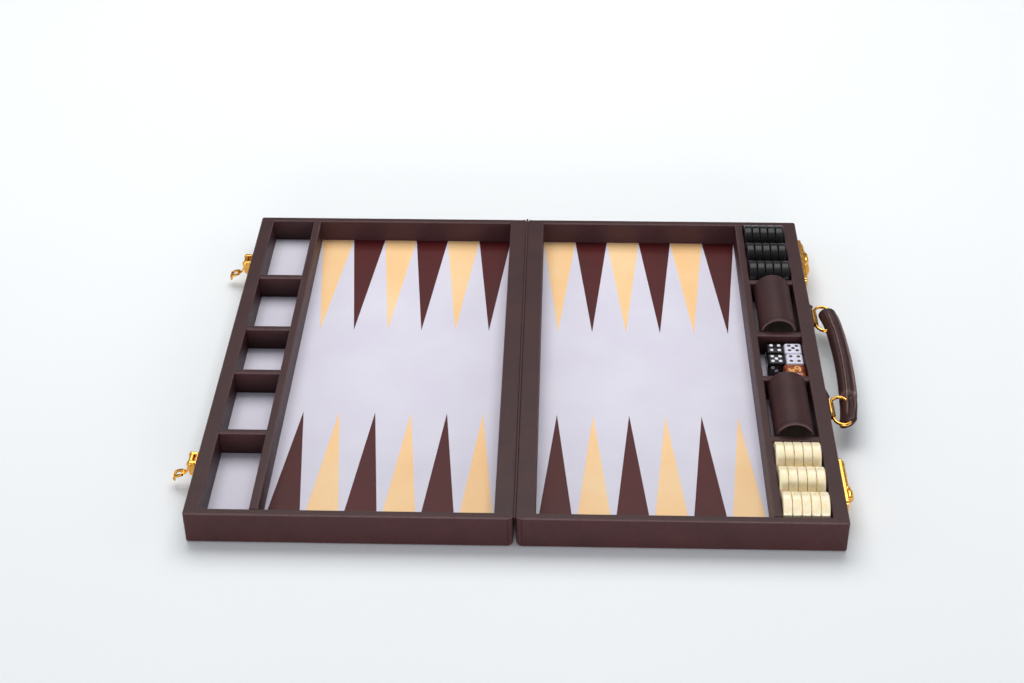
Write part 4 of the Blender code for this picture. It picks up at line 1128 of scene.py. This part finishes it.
class MakeCheckers(Maker):
    """Fifteen light and fifteen dark checkers"""
    bl_idname = "backgammon.checkers"
    bl_label = "Checkers"

    def make(self, context):
        s = context.scene.backgammon_pieces
        for kind, key, slot in (("light", "ivory", "ivory"), ("dark", "black", "black")):
            for k in range(1, 16):
                node = "checker_%s_%02d" % (kind, k)
                lo, hi = box_mm(node)
                self.checker(node, (lo + hi) / 2, (hi[0] - lo[0]) / 2, (hi[2] - lo[2]) / 2, s, key, slot)

    def checker(self, node, centre, half, radius, s, key, slot):
        """A turned disc: a dished face with a bead round it, a flat land, and a rim of quarter circles."""
        edge, dish = s.checker_edge / MM, s.checker_dish / MM
        one = np.concatenate([[[half - dish, 0.0], [half - dish, radius * 0.45], [half - dish, radius - 5.0]],
                              arc(half - dish, radius - 4.6, 0.4, -90, 0, 3),
                              [[half - 0.12, radius - 3.9], [half, radius - 3.6],
                               [half, radius - edge - 0.2]],
                              arc(half - edge, radius - edge, edge, 0, 90, 6)])
        one[3:7] = np.stack([half - dish + 0.38 * dish * np.array([0, .3, .7, 1.0]),
                             radius - 4.9 + 0.75 * np.array([0, .35, .7, 1.0])], -1)
        land = [[half - edge - 0.15, radius], [0.0, radius]]
        right = np.concatenate([one, land])
        profile = np.concatenate([right, right[-2::-1] * [-1, 1]])
        Surface().lathe(profile, centre, "x", 72).piece(node.replace("checker", "stone"),
                                                        [finish(key)], node, slot, [node], sharp=50)


class MakeDiceCups(Maker):
    """Two leather dice cups"""
    bl_idname = "backgammon.dice_cups"
    bl_label = "Dice cups"

    def make(self, context):
        s = context.scene.backgammon_pieces
        for word in ("back", "front"):
            node = "dice_cup_" + word
            lo, hi = box_mm(node)
            self.cup(word, node, (lo + hi) / 2, lo[1], hi[1], (hi[2] - lo[2]) / 2, s)

    def cup(self, word, node, centre, mouth, base, radius, s):
        """A turned wall: up the inside from the floor, over a rolled lip, down the outside past two pressed
        lines and round the foot. The lining takes the rows on the inside."""
        wall, floor = s.cup_wall / MM, s.cup_base / MM
        bore = radius - wall
        lip = wall / 2
        inside = np.concatenate([[[base - floor, 0.0], [base - floor, bore * 0.6],
                                  [base - floor, bore - 2.0]],
                                 arc(base - floor - 2.0, bore - 2.0, 2.0, 0, 90, 5)[1:],
                                 [[(mouth + base) / 2, bore], [mouth + 6, bore], [mouth + lip + 0.4, bore]]])
        over = arc(mouth + lip, bore + lip, lip, 270, 90, 12)
        over[:, 0] = mouth + lip - np.abs(over[:, 0] - (mouth + lip))
        press = []
        for at in (mouth + 4.0, mouth + 5.4, base - 5.0):
            press += [[at - 0.5, radius], [at - 0.2, radius - 0.26], [at + 0.2, radius - 0.26],
                      [at + 0.5, radius]]
        outside = np.concatenate([[[mouth + lip + 0.5, radius]], press,
                                  arc(base - 2.2, radius - 2.2, 2.2, 90, 0, 6),
                                  [[base - 0.05, radius - 3.6], [base - 0.5, radius - 4.4],
                                   [base - 0.5, 0.0]]])
        profile = np.concatenate([inside, over, outside])
        slot = np.zeros(len(profile) - 1, int)
        slot[:len(inside) - 1] = 1
        # paler marks on the rolled lip and round the foot: rubbing, and on the lip a painted highlight
        mark = np.zeros(len(profile))
        mark[len(inside):len(inside) + 13] = 0.85 * np.sin(np.linspace(0.3, math.pi - 0.2, 13))
        mark[-9:-3] = 0.35
        shape = Surface().lathe(profile, (centre[0], 0, centre[2]), "y", 96, slot=slot, mark=mark)
        shape.piece("cup_leather_" + word, [finish("cup"), finish("cup_inside")], node, "cup_leather", [node],
                    sharp=50)


def rounded_cube(half, edge, flat, steps=5):
    """Six grids of a cube with rounded edges: a point of the plain cube is held inside a smaller box, and the
    step from that box to the point is set to the edge radius. flat is the grid spacing on the flats."""
    inner = half - edge
    t = edge * np.tan(np.radians(np.linspace(45, 0, steps + 1)))
    middle_part = np.linspace(-inner, inner, max(3, int(round(2 * inner / flat)) + 1))
    line = np.concatenate([-inner - t[:-1], middle_part, inner + t[::-1][1:]])
    a, b = np.meshgrid(line, line, indexing="ij")
    grids = []
    for axis in range(3):
        for way in (-1, 1):
            p = np.empty(a.shape + (3,))
            p[..., axis], p[..., (axis + 1) % 3], p[..., (axis + 2) % 3] = way * half, a, b
            core = np.clip(p, -inner, inner)
            d = p - core
            d /= np.linalg.norm(d, axis=-1, keepdims=True)
            grids.append((axis, way, core + edge * d))
    return grids


def cube_mesh(shape, grids, centre):
    """Adds six square grids as one closed skin: their shared borders weld when the piece is finished."""
    for _, way, g in grids:
        n = g.shape[0]
        index = np.arange(n * n).reshape(n, n) + shape.count
        quads = np.stack([index[:-1, :-1], index[1:, :-1], index[1:, 1:], index[:-1, 1:]], -1).reshape(-1, 4)
        if way < 0:
            quads = quads[:, ::-1]
        shape.faces += quads.tolist()
        shape.slots += [0] * len(quads)
        shape.points.append(g.reshape(-1, 3) + centre)
        shape.marks.append(np.zeros(n * n))
        shape.count += n * n
    return shape


PIPS = {1: [(0, 0)], 2: [(-1, 1), (1, -1)], 3: [(-1, 1), (0, 0), (1, -1)],
        4: [(-1, 1), (1, 1), (-1, -1), (1, -1)],
        5: [(-1, 1), (1, 1), (0, 0), (-1, -1), (1, -1)],
        6: [(-1, 1), (-1, 0), (-1, -1), (1, 1), (1, 0), (1, -1)]}


def faces_of_die(top, front):
    """Number on each face of a die whose opposite faces add to seven and whose 1, 2 and 3 turn
    anticlockwise: the right face is the cross product of the top and the front in the die's own axes."""
    own = {1: (0, 0, 1), 6: (0, 0, -1), 2: (0, -1, 0), 5: (0, 1, 0), 3: (1, 0, 0), 4: (-1, 0, 0)}
    right = tuple(int(v) for v in np.cross(own[top], own[front]))
    side = next(n for n, v in own.items() if v == right)
    return {(2, 1): top, (2, -1): 7 - top, (1, -1): front, (1, 1): 7 - front, (0, 1): side, (0, -1): 7 - side}


def face_axes(axis, way):
    """Right and up directions of a cube's face as it is looked at from outside."""
    right = {(2, 1): (1, 0, 0), (2, -1): (-1, 0, 0), (1, -1): (1, 0, 0), (1, 1): (-1, 0, 0),
             (0, 1): (0, 1, 0), (0, -1): (0, -1, 0)}[(axis, way)]
    out = np.eye(3)[axis] * way
    return np.array(right, float), np.cross(out, right), out


class MakeDice(Maker):
    """Two black and two white dice"""
    bl_idname = "backgammon.dice"
    bl_label = "Dice"

    def make(self, context):
        s = context.scene.backgammon_pieces
        for node, body, pip, slot, top, front in (("die_dark_back", "black", "pip_white", "black", 4, 5),
                                                  ("die_dark_front", "black", "pip_white", "black", 5, 3),
                                                  ("die_light_back", "white", "pip_black", "white", 5, 6),
                                                  ("die_light_front", "white", "pip_black", "white", 4, 1)):
            self.die(node, body, pip, slot, top, front, s)

    def die(self, node, body, pip, slot, top, front, s):
        """A rounded cube whose faces are hollowed under each pip as a shallow bowl, with a bowl of enamel in
        each: depth falls as the square of the distance from its middle."""
        lo, hi = box_mm(node)
        centre, half = (lo + hi) / 2, (hi[0] - lo[0]) / 2
        numbers = faces_of_die(top, front)
        step, r = s.pip_step / MM, s.pip / MM
        shape, grids = Surface(), []
        for axis, way, g in rounded_cube(half, s.die_edge / MM, 0.42):
            right, up, out = face_axes(axis, way)
            u, v = g @ right, g @ up
            deep = np.zeros(u.shape)
            for px, py in PIPS[numbers[(axis, way)]]:
                far = np.hypot(u - px * step, v - py * step)
                deep = np.maximum(deep, 0.55 * (1 - (far / (r + 0.12)) ** 2))
            grids.append((axis, way, g - deep[..., None] * out))
        cube_mesh(shape, grids, centre)
        turn = np.linspace(0, 2 * math.pi, 28, endpoint=False)
        for (axis, way), number in numbers.items():
            right, up, out = face_axes(axis, way)
            for px, py in PIPS[number]:
                rad = np.array([0.0, 0.35, 0.7, 0.9, 1.0, 1.0, 0.6, 0.0]) * r
                lift = np.array([-0.26, -0.23, -0.12, -0.03, 0.02, -0.2, -0.5, -0.6])
                middle_of = centre + out * half + right * px * step + up * py * step
                p = middle_of + rad[:, None, None] \
                    * (np.cos(turn)[None, :, None] * right + np.sin(turn)[None, :, None] * up) \
                    + lift[:, None, None] * out
                shape.grid(p, slot=1)
        shape.piece(node.replace("die", "cube_die"), [finish(body), finish(pip)], node, slot, [node],
                    sharp=50)


class MakeDoublingCube(Maker):
    """The doubling cube with its numerals"""
    bl_idname = "backgammon.doubling_cube"
    bl_label = "Doubling cube"

    def make(self, context):
        s = context.scene.backgammon_pieces
        node = "doubling_cube"
        lo, hi = box_mm(node)
        centre, half = (lo + hi) / 2, (hi[0] - lo[0]) / 2
        shape = cube_mesh(Surface(), rounded_cube(half, s.cube_edge / MM, 1.5, 6), centre)
        shape.piece("doubling_cube_body", [finish("tortoise")], node, "amber", [node], sharp=50)
        layout = {(2, 1): ("64", 205), (2, -1): ("2", 0), (1, -1): ("4", 90), (1, 1): ("32", 180),
                  (0, 1): ("8", 0), (0, -1): ("16", 270)}
        parts = []
        for (axis, way), (text, turn) in layout.items():
            right, up, out = face_axes(axis, way)
            curve = bpy.data.curves.new("numeral_" + text, "FONT")
            curve.body, curve.size, curve.align_x, curve.align_y = text, 12.5 * MM, "CENTER", "CENTER"
            curve.extrude, curve.offset, curve.resolution_u = 0.10 * MM, 0.22 * MM, 4
            holder = bpy.data.objects.new("numeral_" + text, curve)
            bpy.context.scene.collection.objects.link(holder)
            bpy.context.view_layer.update()
            mesh = bpy.data.meshes.new_from_object(
                holder.evaluated_get(bpy.context.evaluated_depsgraph_get()))
            bpy.data.objects.remove(holder)
            place = Matrix.Identity(4)
            for k, v in enumerate((right, up, out)):
                for r in range(3):
                    place[r][k] = v[r]
            at = (centre + out * (half + 0.02)) * MM
            mesh.transform(Matrix.Translation(Vector(at)) @ place
                           @ Matrix.Rotation(math.radians(turn), 4, "Z"))
            parts.append(mesh)
        joined = bmesh.new()
        for mesh in parts:
            joined.from_mesh(mesh)
            bpy.data.meshes.remove(mesh)
        bmesh.ops.remove_doubles(joined, verts=joined.verts, dist=1e-6)
        bmesh.ops.recalc_face_normals(joined, faces=joined.faces)
        mesh = bpy.data.meshes.new("doubling_cube_numerals")
        joined.to_mesh(mesh)
        joined.free()
        mesh.materials.append(finish("gilt"))
        finish_piece(mesh, "doubling_cube_numerals", node, "amber", sharp=30)


class MakeStage(Maker):
    """Pale floor, soft studio light and the camera"""
    bl_idname = "backgammon.stage"
    bl_label = "Stage"

    def make(self, context):
        s = context.scene.backgammon_stage
        # a wide sheet of paper: level, then rising at the back as the square of the distance
        u = np.linspace(-6, 6, 9)
        v = np.concatenate([np.linspace(-5, 6, 12), 6 + 0.5 * np.arange(1, 7)])
        x, y = np.meshgrid(u, v, indexing="ij")
        z = -0.0006 + 0.14 * np.maximum(0, y - 6) ** 2
        points = np.stack([x, y, z], -1).reshape(-1, 3)
        index = np.arange(len(u) * len(v)).reshape(len(u), len(v))
        quads = np.stack([index[:-1, :-1], index[1:, :-1], index[1:, 1:], index[:-1, 1:]], -1).reshape(-1, 4)
        mesh = bpy.data.meshes.new("paper_floor")
        mesh.from_pydata(points.tolist(), [], quads.tolist())
        mesh.materials.append(studio_paper("Seamless_paper", tuple(s.paper)))
        mesh.shade_smooth()
        floor = bpy.data.objects.new("paper_floor", mesh)
        context.scene.collection.objects.link(floor)
        self.softbox("key_softbox", (-0.1, 1.05, 1.85), (2.2, 1.5), s.key, (1.0, 0.99, 0.97))
        self.softbox("overhead_softbox", (0.0, 0.0, 2.3), (3.0, 2.4), s.over, (0.98, 0.99, 1.0))
        self.softbox("front_softbox", (0.15, -2.6, 0.42), (2.4, 0.5), s.front, (0.97, 0.94, 1.0))
        for name, x in (("left_softbox", -1.9), ("right_softbox", 1.9)):
            self.softbox(name, (x, 0.0, 0.9), (1.6, 0.8), s.side, (1.0, 0.99, 0.97))
        world = bpy.data.worlds.new("Studio_fill")
        world.use_nodes = True
        tree = world.node_tree
        tree.nodes.clear()
        shade = add(tree, "Background", {"Color": tuple(s.sky), "Strength": s.fill})
        tree.links.new(shade.outputs[0], add(tree, "OutputWorld").inputs[0])
        context.scene.world = world
        context.scene.view_settings.view_transform = "Standard"
        camera = bpy.data.cameras.new("camera")
        camera.lens, camera.sensor_width, camera.clip_start, camera.clip_end = s.lens, 36.0, 0.01, 100.0
        holder = bpy.data.objects.new("camera", camera)
        holder.location = (0.03299, -1.30616, 0.98540)
        holder.rotation_euler = Euler([math.radians(a) for a in (54.183, 0.404, 1.734)])
        context.scene.collection.objects.link(holder)
        context.scene.camera = holder

    def softbox(self, name, place, size, power, tone):
        """A rectangular lamp aimed at the middle of the board."""
        lamp = bpy.data.lights.new(name, "AREA")
        lamp.shape, lamp.size, lamp.size_y, lamp.energy, lamp.color = (
            "RECTANGLE", size[0], size[1], power, tone)
        holder = bpy.data.objects.new(name, lamp)
        holder.location = place
        holder.rotation_euler = (Vector((0, 0, 0)) - Vector(place)).to_track_quat("-Z", "Y").to_euler()
        bpy.context.scene.collection.objects.link(holder)


OPERATORS = (MakeCaseShells, MakeTrayDividers, MakePlayingSurfaces, MakeSpineHinge, MakeHasps, MakeCatches,
             MakeHandle,
             MakeCheckers, MakeDiceCups, MakeDice, MakeDoublingCube, MakeStage)
GROUPS = {"backgammon_case": BackgammonCase, "backgammon_pieces": BackgammonPieces,
          "backgammon_metal": BackgammonMetal,
          "backgammon_finishes": BackgammonFinishes, "backgammon_stage": BackgammonStage}


class BackgammonPanel(bpy.types.Panel):
    """Lists the settings and the makers in the sidebar"""
    bl_idname = "VIEW3D_PT_backgammon"
    bl_label = "Backgammon Set"
    bl_space_type = "VIEW_3D"
    bl_region_type = "UI"
    bl_category = "Backgammon"

    def draw(self, context):
        for key, group in GROUPS.items():
            column = self.layout.box().column(align=True)
            column.label(text=group.__doc__)
            for name in group.__annotations__:
                column.prop(getattr(context.scene, key), name)
        for maker in OPERATORS:
            self.layout.operator(maker.bl_idname)


def register():
    for cls in (*GROUPS.values(), *OPERATORS, BackgammonPanel):
        bpy.utils.register_class(cls)
    for key, group in GROUPS.items():
        setattr(bpy.types.Scene, key, PointerProperty(type=group))


def unregister():
    for key in GROUPS:
        delattr(bpy.types.Scene, key)
    for cls in reversed((*GROUPS.values(), *OPERATORS, BackgammonPanel)):
        bpy.utils.unregister_class(cls)


def main():
    register()
    for maker in OPERATORS:
        group, name = maker.bl_idname.split(".")
        getattr(getattr(bpy.ops, group), name)()
    bpy.context.view_layer.update()


if __name__ == "__main__":
    main()
